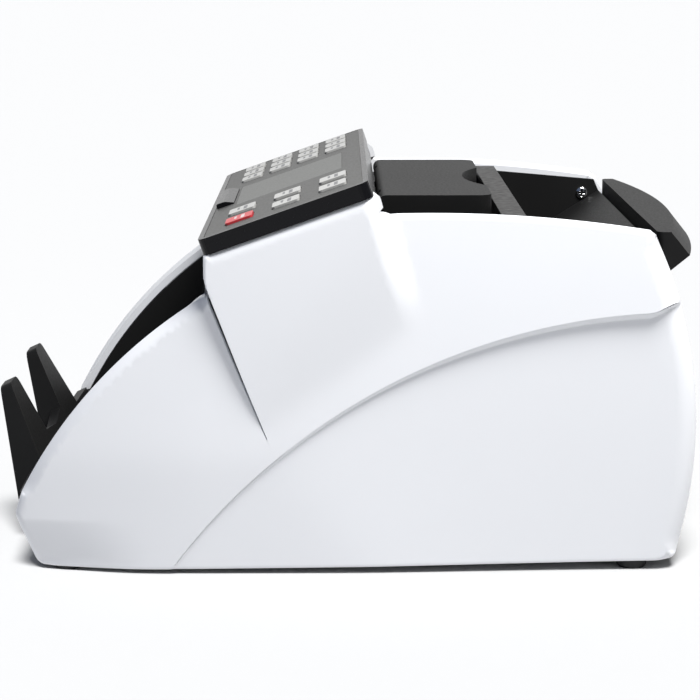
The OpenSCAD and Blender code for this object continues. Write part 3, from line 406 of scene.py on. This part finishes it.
def arc_between(p, q, r, steps):
    """Arc from p to q that bulges to the left of that direction."""
    centre = arc_centre(p, q, r)
    start = math.atan2(p[1] - centre[1], p[0] - centre[0])
    turn = -2 * math.asin(math.dist(p, q) / 2 / r)
    return arc_points(centre, r, start, turn, steps)


def smoothstep(low, high, x):
    t = np.clip((x - low) / (high - low), 0.0, 1.0)
    return t * t * (3 - 2 * t)


def plateau(x, low, full, fade, high):
    """1 between full and fade, falling softly to 0 at low and high."""
    return smoothstep(low, full, x) * smoothstep(high, fade, x)


def soft_min(a, b, blend):
    return -blend * np.logaddexp(-a / blend, -b / blend)


def lengths_along(path):
    """Distance of each point of a path from its start."""
    return np.concatenate([[0], np.cumsum(np.linalg.norm(np.diff(path, axis=0), axis=1))])


def resampled(path, step):
    """Open path with points about one step apart, its ends kept."""
    path = np.array(path, float)
    along = lengths_along(path)
    count = max(1, round(along[-1] / step))
    s = np.linspace(0, along[-1], count + 1)
    return np.stack([np.interp(s, along, path[:, i]) for i in (0, 1)], 1)


def side_of_path(points, path):
    """Signed distance of points to an open path, positive on its left, and the share along it."""
    path = np.array(path, float)
    best = np.full(len(points), np.inf)
    signed = np.zeros(len(points))
    share = np.zeros(len(points))
    before = lengths_along(path)
    for i, length in enumerate(np.linalg.norm(np.diff(path, axis=0), axis=1)):
        u = (path[i + 1] - path[i]) / length
        rel = points - path[i]
        t = np.clip(rel @ u, 0, length)
        d = np.linalg.norm(rel - t[:, None] * u, axis=1)
        cross = u[0] * rel[:, 1] - u[1] * rel[:, 0]
        near = d < best
        best[near] = d[near]
        signed[near] = np.where(cross[near] >= 0, d[near], -d[near])
        share[near] = (before[i] + t[near]) / before[-1]
    return signed, share


# Outline of the side covers

CHIN = (NOSE[0] + 9, 1.6)
LIP_START = (NOSE[0] + 3, NOSE[1] + 9.5)
LIP_END = (PANEL_FRONT_LOW[0], 119.4)
CREST_START = (PANEL_BACK_LOW[0] + 2.4, CREST_Z)
CREST_END = (TAIL_Y - 21.5, CREST_Z - 6.7)
BACK_TOP = (TAIL_Y - 18.5, CREST_Z - 9.1)
BACK_LOW = (TAIL_Y - 4.5, FOOT_H + 9)
HEEL = (TAIL_Y - 7, FOOT_H)
CHIN_ARC = fillet(HEEL, CHIN, NOSE, r=5, steps=8)
NOSE_ARC = fillet(CHIN, NOSE, LIP_START, r=5, steps=8)
LIP_ARC = arc_between(LIP_START, LIP_END, r=212, steps=60)
CREST_ARC = arc_between(CREST_START, CREST_END, r=590, steps=40)
BACK_ARC = arc_between(BACK_TOP, BACK_LOW, r=190, steps=40)
HEEL_ARC = fillet(BACK_LOW, HEEL, CHIN, r=4, steps=8)

# Stretches of the outline: path, then width, depth and squareness of the rounded edge
OUTLINE = [
    (CHIN_ARC, 3.0, 3.0, 2.0),
    (NOSE_ARC, 3.0, 3.0, 1.6),
    (LIP_ARC, 4.2, 4.0, 1.15),
    ([LIP_END, PANEL_FRONT_LOW], 1.4, 1.4, 2.0),
    ([PANEL_FRONT_LOW, PANEL_BACK_LOW], 4.5, 2.2, 2.0),
    ([PANEL_BACK_LOW, CREST_START], 5.0, 1.2, 2.0),
    (CREST_ARC, 2.2, 2.2, 2.0),
    (BACK_ARC, 9.0, 9.0, 2.0),
    (HEEL_ARC, 6.0, 6.0, 2.0),
    ([HEEL_ARC[-1], CHIN_ARC[0]], 1.0, 1.0, 2.0),
]
RING_STEP = 1.4
SAME_POINT = 1e-6
# Neighbouring edge traits run into each other over about twice this length
TRAIT_BLEND = 3.5


def cover_ring():
    """Outline points about one step apart, with the edge's width, depth and squareness at each."""
    corners, traits = [], []
    for path, *trait in OUTLINE:
        for p in path:
            if corners and math.dist(corners[-1], p) < SAME_POINT:
                traits[-1] = trait
            else:
                corners.append((float(p[0]), float(p[1])))
                traits.append(trait)
    # The last stretch ends where the first one starts
    corners.pop()
    traits.pop()
    loop = np.array(corners + corners[:1])
    traits = np.array(traits + traits[:1])
    along = lengths_along(loop)
    pieces = [
        np.linspace(a, b, max(1, math.ceil((b - a) / RING_STEP)), endpoint=False)
        for a, b in zip(along, along[1:])]
    s = np.unique(np.round(np.concatenate(pieces), 6))
    ring = np.stack([np.interp(s, along, loop[:, i]) for i in (0, 1)], 1)
    held = traits[np.searchsorted(along, s, side="right") - 1]
    smooth = np.empty_like(held)
    total = along[-1]
    for i, place in enumerate(s):
        gap = np.abs((s - place + total / 2) % total - total / 2)
        weight = np.exp(-(gap / TRAIT_BLEND) ** 2)
        smooth[i] = (weight[:, None] * held).sum(0) / weight.sum()
    return ring, smooth


def ring_normals(ring):
    """Outward directions at the outline's points."""
    back, ahead = np.roll(ring, 1, axis=0), np.roll(ring, -1, axis=0)
    u = (ahead - back) / np.linalg.norm(ahead - back, axis=1)[:, None]
    return np.stack([-u[:, 1], u[:, 0]], 1)


RING, RING_TRAITS = cover_ring()
RING_OUT = ring_normals(RING)


def edge_of(points):
    """Distance of points to the outline and the edge traits of the nearest place on it."""
    best = np.full(len(points), np.inf)
    trait = np.zeros((len(points), 3))
    following = np.roll(RING, -1, axis=0)
    next_traits = np.roll(RING_TRAITS, -1, axis=0)
    for a, b, ta, tb in zip(RING, following, RING_TRAITS, next_traits):
        u = b - a
        t = np.clip(((points - a) @ u) / (u @ u), 0, 1)
        d = np.linalg.norm(points - a - t[:, None] * u, axis=1)
        near = d < best
        best[near] = d[near]
        trait[near] = ta + (tb - ta) * t[near, None]
    return best, trait


def inside_outline(points):
    """Even-odd test against the outline."""
    hit = np.zeros(len(points), bool)
    for a, b in zip(RING, np.roll(RING, -1, axis=0)):
        crosses = (a[1] > points[:, 1]) != (b[1] > points[:, 1])
        if crosses.any():
            at = a[0] + (points[:, 1] - a[1]) / (b[1] - a[1]) * (b[0] - a[0])
            hit ^= crosses & (points[:, 0] < at)
    return hit


# Skin of the right cover: its distance x from the middle over the side view

# Above the crease the skin is upright, and from LEAN_Z on it leans inwards
UPRIGHT_X = 122.0
LEAN_X = 121.7
LEAN_Z = 54.5
LEAN_BLEND = 0.25
UPPER_LEAN = math.radians(4)

# The crease is an arc that kicks up at its back end. Below it the skin steps back, more
# so towards the back, and leans outwards to its foot.
CREASE_FRONT = (-74.0, 2.5)
CREASE_BACK = (127.0, 112.0)
CREASE_R = 267.0
CREASE_O = arc_centre(CREASE_FRONT, CREASE_BACK, CREASE_R)
KICK_RISE = 4.0
KICK_END = 139.0
STEP_DEPTH = 0.7
STEP_DEPTH_GAIN = 2.2
STEP_WIDTH = 0.9
STEP_WIDTH_GAIN = 1.3
LOWER_LEAN = math.radians(1)
LOWER_MAX_X = 121.6

# The shoulder is a plane that rises out of the skin between two paths
SHOULDER_LEFT = [
    (-60.2, 130.5), (-57.6, 121.9), (-52.4, 108.4), (-46.3, 92.3),
    (-40.2, 76.5), (-34.0, 61.0), (-30.5, 52.0)]
SHOULDER_RIGHT = [
    (32.5, 94.0), (29.2, 106.3), (25.8, 118.9), (20.3, 135.7), (16.2, 151.6), (11.9, 166.0)]
SHOULDER_AT = (121, -34, 61)
SHOULDER_SLOPE_Y = -0.09393
SHOULDER_SLOPE_Z = 0.0621
SHOULDER_MAX_X = 122.4
SHOULDER_BLEND = 0.6
RISE_BLEND = 0.35
LEFT_EDGE = 0.15
RIGHT_EDGE = 6.5

# A tapering groove runs before the shoulder's front edge. Its walls are ranges of the
# distance from its own front and from that edge.
GROOVE_WIDTH = 2.0
GROOVE_LENGTH = 0.93
GROOVE_TAPER = 0.9
GROOVE_DEPTH = 1.0
GROOVE_DEPTH_GAIN = 5.0
GROOVE_FRONT_WALL = (-0.18, 0.05)
GROOVE_BACK_WALL = (-0.12, 0.12)
GROOVE_MIN_WIDTH = 0.08
GROOVE_MIN_SHARE = 0.001

# Towards the nose the skin toes in, and below it also tucks under
LIP_Y = -60
TOE_IN = 6.0
TOE_POWER = 1.7
TUCK = 4.5
TUCK_Z = 23
TUCK_POWER = 1.25
TUCK_SPAN = (-84, -136)

NORMAL_STEP = 0.04


def crease_lift(y):
    """Height of the crease's kick over its arc."""
    return KICK_RISE * smoothstep(CREASE_BACK[0], KICK_END, y)


def crease_width(share):
    """Width of the step below the crease."""
    return STEP_WIDTH + STEP_WIDTH_GAIN * share


def crease_depth(points):
    """Distance below the crease, and the share along it from its front to its back."""
    y, z = points.T
    depth = CREASE_R - np.hypot(y - CREASE_O[0], z - crease_lift(y) - CREASE_O[1])
    return depth, np.clip((y - CREASE_FRONT[0]) / (CREASE_BACK[0] - CREASE_FRONT[0]), 0, 1)


def groove_width(share):
    return GROOVE_WIDTH * np.clip(1 - share / GROOVE_LENGTH, 0, 1) ** GROOVE_TAPER


def groove_depth(left, share):
    """Depth of the groove at signed distances from the shoulder's front edge."""
    width = groove_width(share)
    low, full = (-width + offset for offset in GROOVE_FRONT_WALL)
    profile = plateau(left, low, full, *GROOVE_BACK_WALL)
    depth = (GROOVE_DEPTH + GROOVE_DEPTH_GAIN * (1 - share)) * profile
    return np.where((width > GROOVE_MIN_WIDTH) & (share > GROOVE_MIN_SHARE), depth, 0.0)


def upper_x(z):
    """Skin above the crease."""
    leaning = LEAN_X - (z - LEAN_Z) * math.tan(UPPER_LEAN)
    return soft_min(np.full(len(z), UPRIGHT_X), leaning, LEAN_BLEND)


def lower_x(points, depth, share):
    """Skin below the crease, from the depth below it and the share along it."""
    y, z = points.T
    reach = np.hypot(y - CREASE_O[0], z - CREASE_O[1])
    at_crease = upper_x(CREASE_O[1] + (z - CREASE_O[1]) * CREASE_R / np.maximum(reach, 1.0))
    step = STEP_DEPTH + STEP_DEPTH_GAIN * share
    behind = at_crease - step * np.clip(depth / crease_width(share), 0, 1)
    return np.minimum(behind + np.clip(depth, 0, None) * math.tan(LOWER_LEAN), LOWER_MAX_X)


def skin_x(points):
    """Side skin before its edges are rounded."""
    y, z = points.T
    depth, along = crease_depth(points)
    x = np.where(depth > 0, lower_x(points, depth, along), upper_x(z))
    left, share = side_of_path(points, SHOULDER_LEFT)
    right, _ = side_of_path(points, SHOULDER_RIGHT)
    at_x, at_y, at_z = SHOULDER_AT
    plane = at_x + SHOULDER_SLOPE_Y * (y - at_y) + SHOULDER_SLOPE_Z * (z - at_z)
    raised = soft_min(plane, np.full(len(y), SHOULDER_MAX_X), SHOULDER_BLEND)
    rise = RISE_BLEND * np.logaddexp(0, (raised - x) / RISE_BLEND)
    inside = smoothstep(-LEFT_EDGE, LEFT_EDGE, left) * smoothstep(-RIGHT_EDGE, RIGHT_EDGE, right)
    toe = TOE_IN * (np.clip(LIP_Y - y, 0, None) / (LIP_Y - NOSE[0])) ** TOE_POWER
    tuck = TUCK * np.clip((TUCK_Z - z) / (TUCK_Z - FOOT_H), 0, 1) ** TUCK_POWER
    tuck *= smoothstep(*TUCK_SPAN, y)
    return x - toe - tuck + rise * inside - groove_depth(left, share)


def cover_x(points):
    """Side skin with its edges rounded."""
    d, trait = edge_of(points)
    width, depth, square = trait.T
    t = np.clip(1 - d / width, 0, 1)
    return skin_x(points) - depth * (1 - np.clip(1 - t ** square, 0, 1) ** (1 / square))


def skin_normals(points):
    """Outward normals of the rounded skin."""
    h = NORMAL_STEP
    dy = (cover_x(points + [h, 0]) - cover_x(points - [h, 0])) / (2 * h)
    dz = (cover_x(points + [0, h]) - cover_x(points - [0, h])) / (2 * h)
    n = np.stack([np.ones(len(points)), -dy, -dz], 1)
    return n / np.linalg.norm(n, axis=1)[:, None]


# Mesh of the right cover

# Rows of points beside the outline, the crease and the shoulder's front edge. A row of
# the last two is a share of the step's or groove's width and an offset.
EDGE_ROWS = (0.12, 0.35, 0.8, 1.5, 2.6)
CREASE_ROWS = ((0, -1.6), (0, -0.5), (0, 0), (0.5, 0), (1, 0), (1, 0.5), (1, 1.6))
SHOULDER_ROWS = (
    (0, 1.2), (0, 0.4), (0, 0.15), (0, -0.12), (0.5, 0), (1, 0.05), (1, -0.2), (1, -0.7), (1, -1.6))
CREASE_POINTS = 210
CREASE_LAST_Y = 141.0
SHOULDER_STEP = 0.9
EDGE_SLACK = 0.02
ROW_MARGIN = 0.3

# Grid of points over the rest of the skin
GRID_Y = (-140, 148)
GRID_Z = (5, 168)
GRID_STEP = 2.1
GRID_SHIFT = 0.5
GRID_MARGIN = 3.4
GRID_CLEAR = 1.0

TRIANGLES_INSIDE = 1
TRIANGLE_EPSILON = 1e-5
EDGE_TILT = 0.15

# Along the crest and the lip the rim falls inwards to the hopper's and the stacker's
# walls, and behind the panel it flares out towards the hopper
FLANGE_X = WALL_X - 0.1
CREST_RIM_Z = 138
CREST_FALL = 1.9
CREST_SPAN = (15, 22, 128, 134)
LIP_FALL = 1.4
LIP_SPAN = (36, 46, 112, 118)
FLARE = 2.2
FLARE_Y = (11, 14.4)
FLARE_SPAN = (152.8, 155, 159, 162.5)
FLANGE_W = 2.6
CREST_FLANGE_W = 6.5
LIP_FLANGE_W = 4.6
LIP_FLANGE_FRONT_Y = -140
LIP_FLANGE_LOW_Z = 34

# The upper part of the groove is painted black, as painted shade
PAINTED_SHADE_SHARE = 0.6
PAINTED_SHADE_INSET = 0.1
PAINTED_SHADE_MARGIN = 2.0


def crease_rows():
    """Rows of points along the crease."""
    start = math.atan2(CREASE_FRONT[1] - CREASE_O[1], CREASE_FRONT[0] - CREASE_O[0])
    end = math.atan2(CREASE_BACK[1] - CREASE_O[1], CREASE_LAST_Y - CREASE_O[0])
    turns = np.linspace(start, end, CREASE_POINTS)
    width = crease_width(np.linspace(0, 1, CREASE_POINTS))
    rows = []
    for share, offset in CREASE_ROWS:
        r = CREASE_R - offset - share * width
        row = np.stack([CREASE_O[0] + r * np.cos(turns), CREASE_O[1] + r * np.sin(turns)], 1)
        row[:, 1] += crease_lift(row[:, 0])
        rows.append(row)
    return rows


def shoulder_rows():
    """Rows of points along the shoulder's front edge and its groove."""
    path = resampled(SHOULDER_LEFT, SHOULDER_STEP)
    u = np.gradient(path, axis=0)
    u /= np.linalg.norm(u, axis=1)[:, None]
    out = np.stack([-u[:, 1], u[:, 0]], 1)
    width = groove_width(np.linspace(0, 1, len(path)))[:, None]
    return [path + out * (offset - share * width) for share, offset in SHOULDER_ROWS]


def skin_points():
    """Points of the skin in the side view, the outline's first."""
    beside = []
    for d in EDGE_ROWS:
        row = RING - d * RING_OUT
        beside.append(row[np.abs(edge_of(row)[0] - d) < EDGE_SLACK])
    rows = []
    for row in crease_rows() + shoulder_rows():
        row = row[inside_outline(row)]
        rows.append(row[edge_of(row)[0] > ROW_MARGIN])
    near = np.concatenate(rows)
    ys, zs = np.meshgrid(np.arange(*GRID_Y, GRID_STEP), np.arange(*GRID_Z, GRID_STEP), indexing="ij")
    grid = np.stack([ys.ravel() + GRID_SHIFT * (np.arange(ys.size) % 2), zs.ravel()], 1)
    grid = grid[inside_outline(grid)]
    grid = grid[edge_of(grid)[0] > GRID_MARGIN]
    clear = np.array([np.hypot(*(near - p).T).min() > GRID_CLEAR for p in grid])
    return np.concatenate([RING, *beside, near, grid[clear]])


def triangulated(flat):
    """Points and triangles inside the outline, and the outline's places among the points."""
    count = len(RING)
    border = [(i, (i + 1) % count) for i in range(count)]
    found = delaunay_2d_cdt(
        [Vector(p) for p in flat], border, [list(range(count))], TRIANGLES_INSIDE, TRIANGLE_EPSILON)
    points = np.array([tuple(p) for p in found[0]])
    faces = [tuple(f) for f in found[2]]
    places = {source: i for i, sources in enumerate(found[3]) for source in sources if source < count}
    return points, faces, [places[i] for i in range(count)]


def rim_rings():
    """The rim's end at the inner wall and the inner border of its flange, in the side view."""
    y, z = RING.T
    on_crest, on_lip = z > CREST_RIM_Z, y < LIP_Y
    lip_fall = np.where(on_lip, LIP_FALL * plateau(z, *LIP_SPAN), 0.0)
    fall = np.where(on_crest, CREST_FALL * plateau(y, *CREST_SPAN), lip_fall)
    behind_panel = (y > FLARE_Y[0]) & (y < FLARE_Y[1])
    fall -= np.where(behind_panel, FLARE * plateau(z, *FLARE_SPAN), 0.0)
    wide_lip = on_lip & (y > LIP_FLANGE_FRONT_Y) & (z > LIP_FLANGE_LOW_Z)
    width = np.where(wide_lip, LIP_FLANGE_W, np.where(on_crest, CREST_FLANGE_W, FLANGE_W))
    return RING - RING_OUT * fall[:, None], RING - RING_OUT * width[:, None]


def groove_painted_shade(flat, faces):
    """Which faces of the skin in the groove's upper part get the painted shade."""
    middles = np.array([flat[list(f)].mean(0) for f in faces])
    left, share = side_of_path(middles, SHOULDER_LEFT)
    within = (-groove_width(share) < left) & (left < -PAINTED_SHADE_INSET)
    return within & (share < PAINTED_SHADE_SHARE) & (edge_of(middles)[0] > PAINTED_SHADE_MARGIN)


def side_points(x, flat):
    """Points of the side view at a distance x from the middle."""
    return np.column_stack([np.broadcast_to(x, len(flat)), flat])


def build_cover():
    """Points, normals, faces and painted-shade marks of the right cover."""
    flat, faces, ids = triangulated(skin_points())
    skin = side_points(cover_x(flat), flat)
    skin_n = skin_normals(flat)
    for i, n in zip(ids, RING_OUT):
        skin_n[i] = unit(np.array([EDGE_TILT, n[0], n[1]]))
    # Faces in the groove's upper part are marked for the painted shade
    marks = list(groove_painted_shade(flat, faces))
    # Rim from the skin back to the inner wall, then a flange that turns in from it
    wall, border = (side_points(FLANGE_X, ring) for ring in rim_rings())
    rim_n = side_points(0.0, RING_OUT)
    flange_n = side_points(-1.0, np.zeros_like(RING))
    count = len(RING)
    rim = len(skin)
    flange = rim + 2 * count
    for i in range(count):
        j = (i + 1) % count
        for base in (rim, flange):
            faces.append((base + i, base + j, base + count + j, base + count + i))
            marks.append(False)
    points = np.concatenate([skin, skin[ids], wall, wall, border])
    normals = np.concatenate([skin_n, rim_n, rim_n, flange_n, flange_n])
    return points, normals, faces, marks


def oriented(points, normals, faces):
    """Faces turned so that they face along their points' normals."""
    turned = []
    for f in faces:
        face_n = np.cross(points[f[1]] - points[f[0]], points[f[2]] - points[f[1]])
        turned.append(f if face_n @ normals[list(f)].sum(0) >= 0 else tuple(reversed(f)))
    return turned


def add_cover(name, node, side, points, normals, faces, marks):
    """Cover shell in place of a node: side is 1 for the right one and -1 for its mirror image."""
    points, normals = points * [side, 1, 1], normals * [side, 1, 1]
    faces = oriented(points, normals, faces)
    # The second finish paints shade on the groove's marked faces
    piece = add_mesh(name, points, faces, ("cover_white", "gap_black"), node)
    shade_smooth(piece.data, marks)
    piece.data.normals_split_custom_set_from_vertices(normals.tolist())
    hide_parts(node)


cover = build_cover()
add_cover("cover_shell_right", "side_cover_right", 1, *cover)
add_cover("cover_shell_left", "side_cover_left", -1, *cover)


# CAD nodes keep their shape and get softened edges and a finish

KEY_NAMES = [name for name in nodes if name.startswith("key_")] + ["start_key"]

# Width and segments of the softened edges
BEVELS = {
    "stacker_stop": (1.3, 3), "hopper_rest": (1.6, 4), "feed_cover": (1.2, 3),
    "panel_housing": (0.35, 2), "front_apron": (0.5, 2), "back_cover": (0.5, 2),
    "feed_gate": (0.3, 2), "hopper_tray": (0.3, 2), "stacker_tray": (0.3, 2),
    "stacker_back_plate": (0.3, 2), "adjust_knob": (0.6, 3), "power_rocker": (0.4, 2),
    "power_inlet": (0.4, 2), "rubber_feet": (0.5, 2), "keypad_overlay": (0.08, 1),
    "lcd_window": (0.15, 2),
    **{name: (0.35, 2) for name in KEY_NAMES},
}
BEVEL_ANGLE = math.radians(35)
WELD_DISTANCE = 1e-6

# Finishes that differ from a node's material slot
SPECIAL = {"panel_housing": "panel_gloss"}


def dress(node, piece):
    """Gives a CAD node its finish and, where listed, softened edges."""
    material = materials[SPECIAL.get(node, slot_of[node])]
    held = piece.data.materials
    if not held:
        held.append(material)
    for i in range(len(held)):
        held[i] = material
    if node in BEVELS:
        width, segments = BEVELS[node]
        weld = piece.modifiers.new("Weld", "WELD")
        weld.merge_threshold = WELD_DISTANCE
        bevel = piece.modifiers.new("Bevel", "BEVEL")
        bevel.width = width * MM
        bevel.segments = segments
        bevel.limit_method = "ANGLE"
        bevel.angle_limit = BEVEL_ANGLE
        normal = piece.modifiers.new("WeightedNormal", "WEIGHTED_NORMAL")
        normal.keep_sharp = True


for node_name, node_piece in nodes.items():
    dress(node_name, node_piece)


# Prints on the keys

# Heights over the panel
KEY_TOP = 0.8
PRINT_TOP = KEY_TOP + 0.03
PRINT_SEAT = KEY_TOP - 0.12

# Bars: place from the key's middle, length and width
PRINT_BARS = ((0.0, 2.1, 10.5, 1.7), (-1.5, -1.2, 7.0, 1.1))
PRINT_TURN = 22.5
PRINT_END_POINTS = 9


def on_panel(x, y, z):
    """Point of the panel's own frame, in mm."""
    p = PANEL_FRONT + y * PANEL_U + z * PANEL_N
    return (x, float(p[0]), float(p[1]))


def panel_place(node):
    """Middle of a key on the panel, in the panel's frame."""
    low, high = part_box(node)
    middle = (low + high) / 2 / MM
    rel = np.array([middle.y, middle.z]) - PANEL_FRONT
    return middle.x, float(rel @ PANEL_U)


def capsule(cx, cy, length, width, z):
    """Outline of a flat bar with round ends in the panel's frame."""
    points = []
    for end in (1, -1):
        middle = cx + end * (length - width) / 2
        for i in range(PRINT_END_POINTS):
            a = math.radians(-90 * end + PRINT_TURN * i)
            points.append(on_panel(middle + math.cos(a) * width / 2, cy + math.sin(a) * width / 2, z))
    return points


def add_key_print(node):
    """Two plain bars on a key's top, longer over shorter."""
    x, y = panel_place(node)
    points, faces = [], []
    for dx, dy, length, width in PRINT_BARS:
        top = capsule(x + dx, y + dy, length, width, PRINT_TOP)
        seat = capsule(x + dx, y + dy, length, width, PRINT_SEAT)
        count = len(top)
        first, second = len(points), len(points) + count
        points += top + seat
        faces.append(tuple(range(first, second)))
        faces.append(tuple(reversed(range(second, second + count))))
        for i in range(count):
            j = (i + 1) % count
            faces.append((second + i, second + j, first + j, first + i))
    finish = "print_light" if node == "start_key" else "print_dark"
    add_mesh("print_" + node, points, faces, (finish,), node)


for node_name in KEY_NAMES:
    add_key_print(node_name)


# Screws in the hopper's walls

SCREW_PLACE = (103.5, 122.5, 136.6)
SCREW_TURN = 0.4
SCREW_AROUND = 96
SCREW_R = 3.1
SCREW_RADII = (0.25, 0.5, 0.75, 1.0, 1.25, 1.5, 1.75, 2.0, 2.3, 2.6, 2.85, 3.0, SCREW_R)
SCREW_EDGE_H = 0.2
SCREW_DOME_H = 1.25
SCREW_DOME_POWER = 2.6
SCREW_SEAT = -0.3

# The cross recess: its depth, half the width and length of a bar, and the slope of its sides
RECESS_DEPTH = 1.0
BAR_HALF_W = 0.42
BAR_HALF_L = 1.75
BAR_SLOPE = 0.16


def bar(u, v):
    """1 inside a bar of the recess along v, 0 outside."""
    def within(value, limit):
        return min(1.0, max(0.0, (limit - abs(value)) / BAR_SLOPE + 0.5))
    return within(u, BAR_HALF_W) * within(v, BAR_HALF_L)


def recess(u, v):
    """1 inside the cross recess, 0 outside."""
    return max(bar(u, v), bar(v, u))


def head_height(r):
    """Height of the domed head over the wall."""
    return SCREW_EDGE_H + SCREW_DOME_H * math.sqrt(max(0.0, 1 - (r / SCREW_R) ** SCREW_DOME_POWER))


def add_hopper_screws():
    """Pan heads with a cross recess, one in each wall, the recess painted black as painted shade."""
    points, faces, marks = [], [], []
    wall, y, z = SCREW_PLACE
    # Rings from the head's middle out to its edge and down to its seat inside the wall
    rings = [(r, head_height(r)) for r in SCREW_RADII] + [(SCREW_R, 0.0), (SCREW_R, SCREW_SEAT)]
    turns = [2 * math.pi * i / SCREW_AROUND + SCREW_TURN for i in range(SCREW_AROUND)]
    for side in (-1, 1):
        middle = len(points)
        points.append((side * (wall - head_height(0.0) + RECESS_DEPTH), y, z))
        starts = []
        for r, height in rings:
            starts.append(len(points))
            for a in turns:
                u, v = r * math.cos(a), r * math.sin(a)
                points.append((side * (wall - height + RECESS_DEPTH * recess(u, v)), y + v, z + u))
        made = []
        for i in range(SCREW_AROUND):
            j = (i + 1) % SCREW_AROUND
            made.append((middle, starts[0] + j, starts[0] + i))
            marks.append(True)
            a = turns[i] + math.pi / SCREW_AROUND
            for k in range(len(rings) - 1):
                inner, outer = starts[k], starts[k + 1]
                made.append((inner + i, inner + j, outer + j, outer + i))
                r = (rings[k][0] + rings[k + 1][0]) / 2
                # Faces inside the cross recess are marked for the painted shade
                marks.append(recess(r * math.cos(a), r * math.sin(a)) > 0.5)
        made.append(tuple(reversed(range(starts[-1], len(points)))))
        marks.append(False)
        faces += made if side < 0 else [tuple(reversed(f)) for f in made]
    # The second finish paints shade into the cross recess
    finishes = ("chrome_screw", "gap_black")
    piece = add_mesh("hopper_screw_heads", points, faces, finishes, "hopper_screws")
    shade_smooth(piece.data, marks)
    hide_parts("hopper_screws")


add_hopper_screws()

light_only(key_light, [piece for piece in scene.objects if piece.type == "MESH" and piece is not floor])
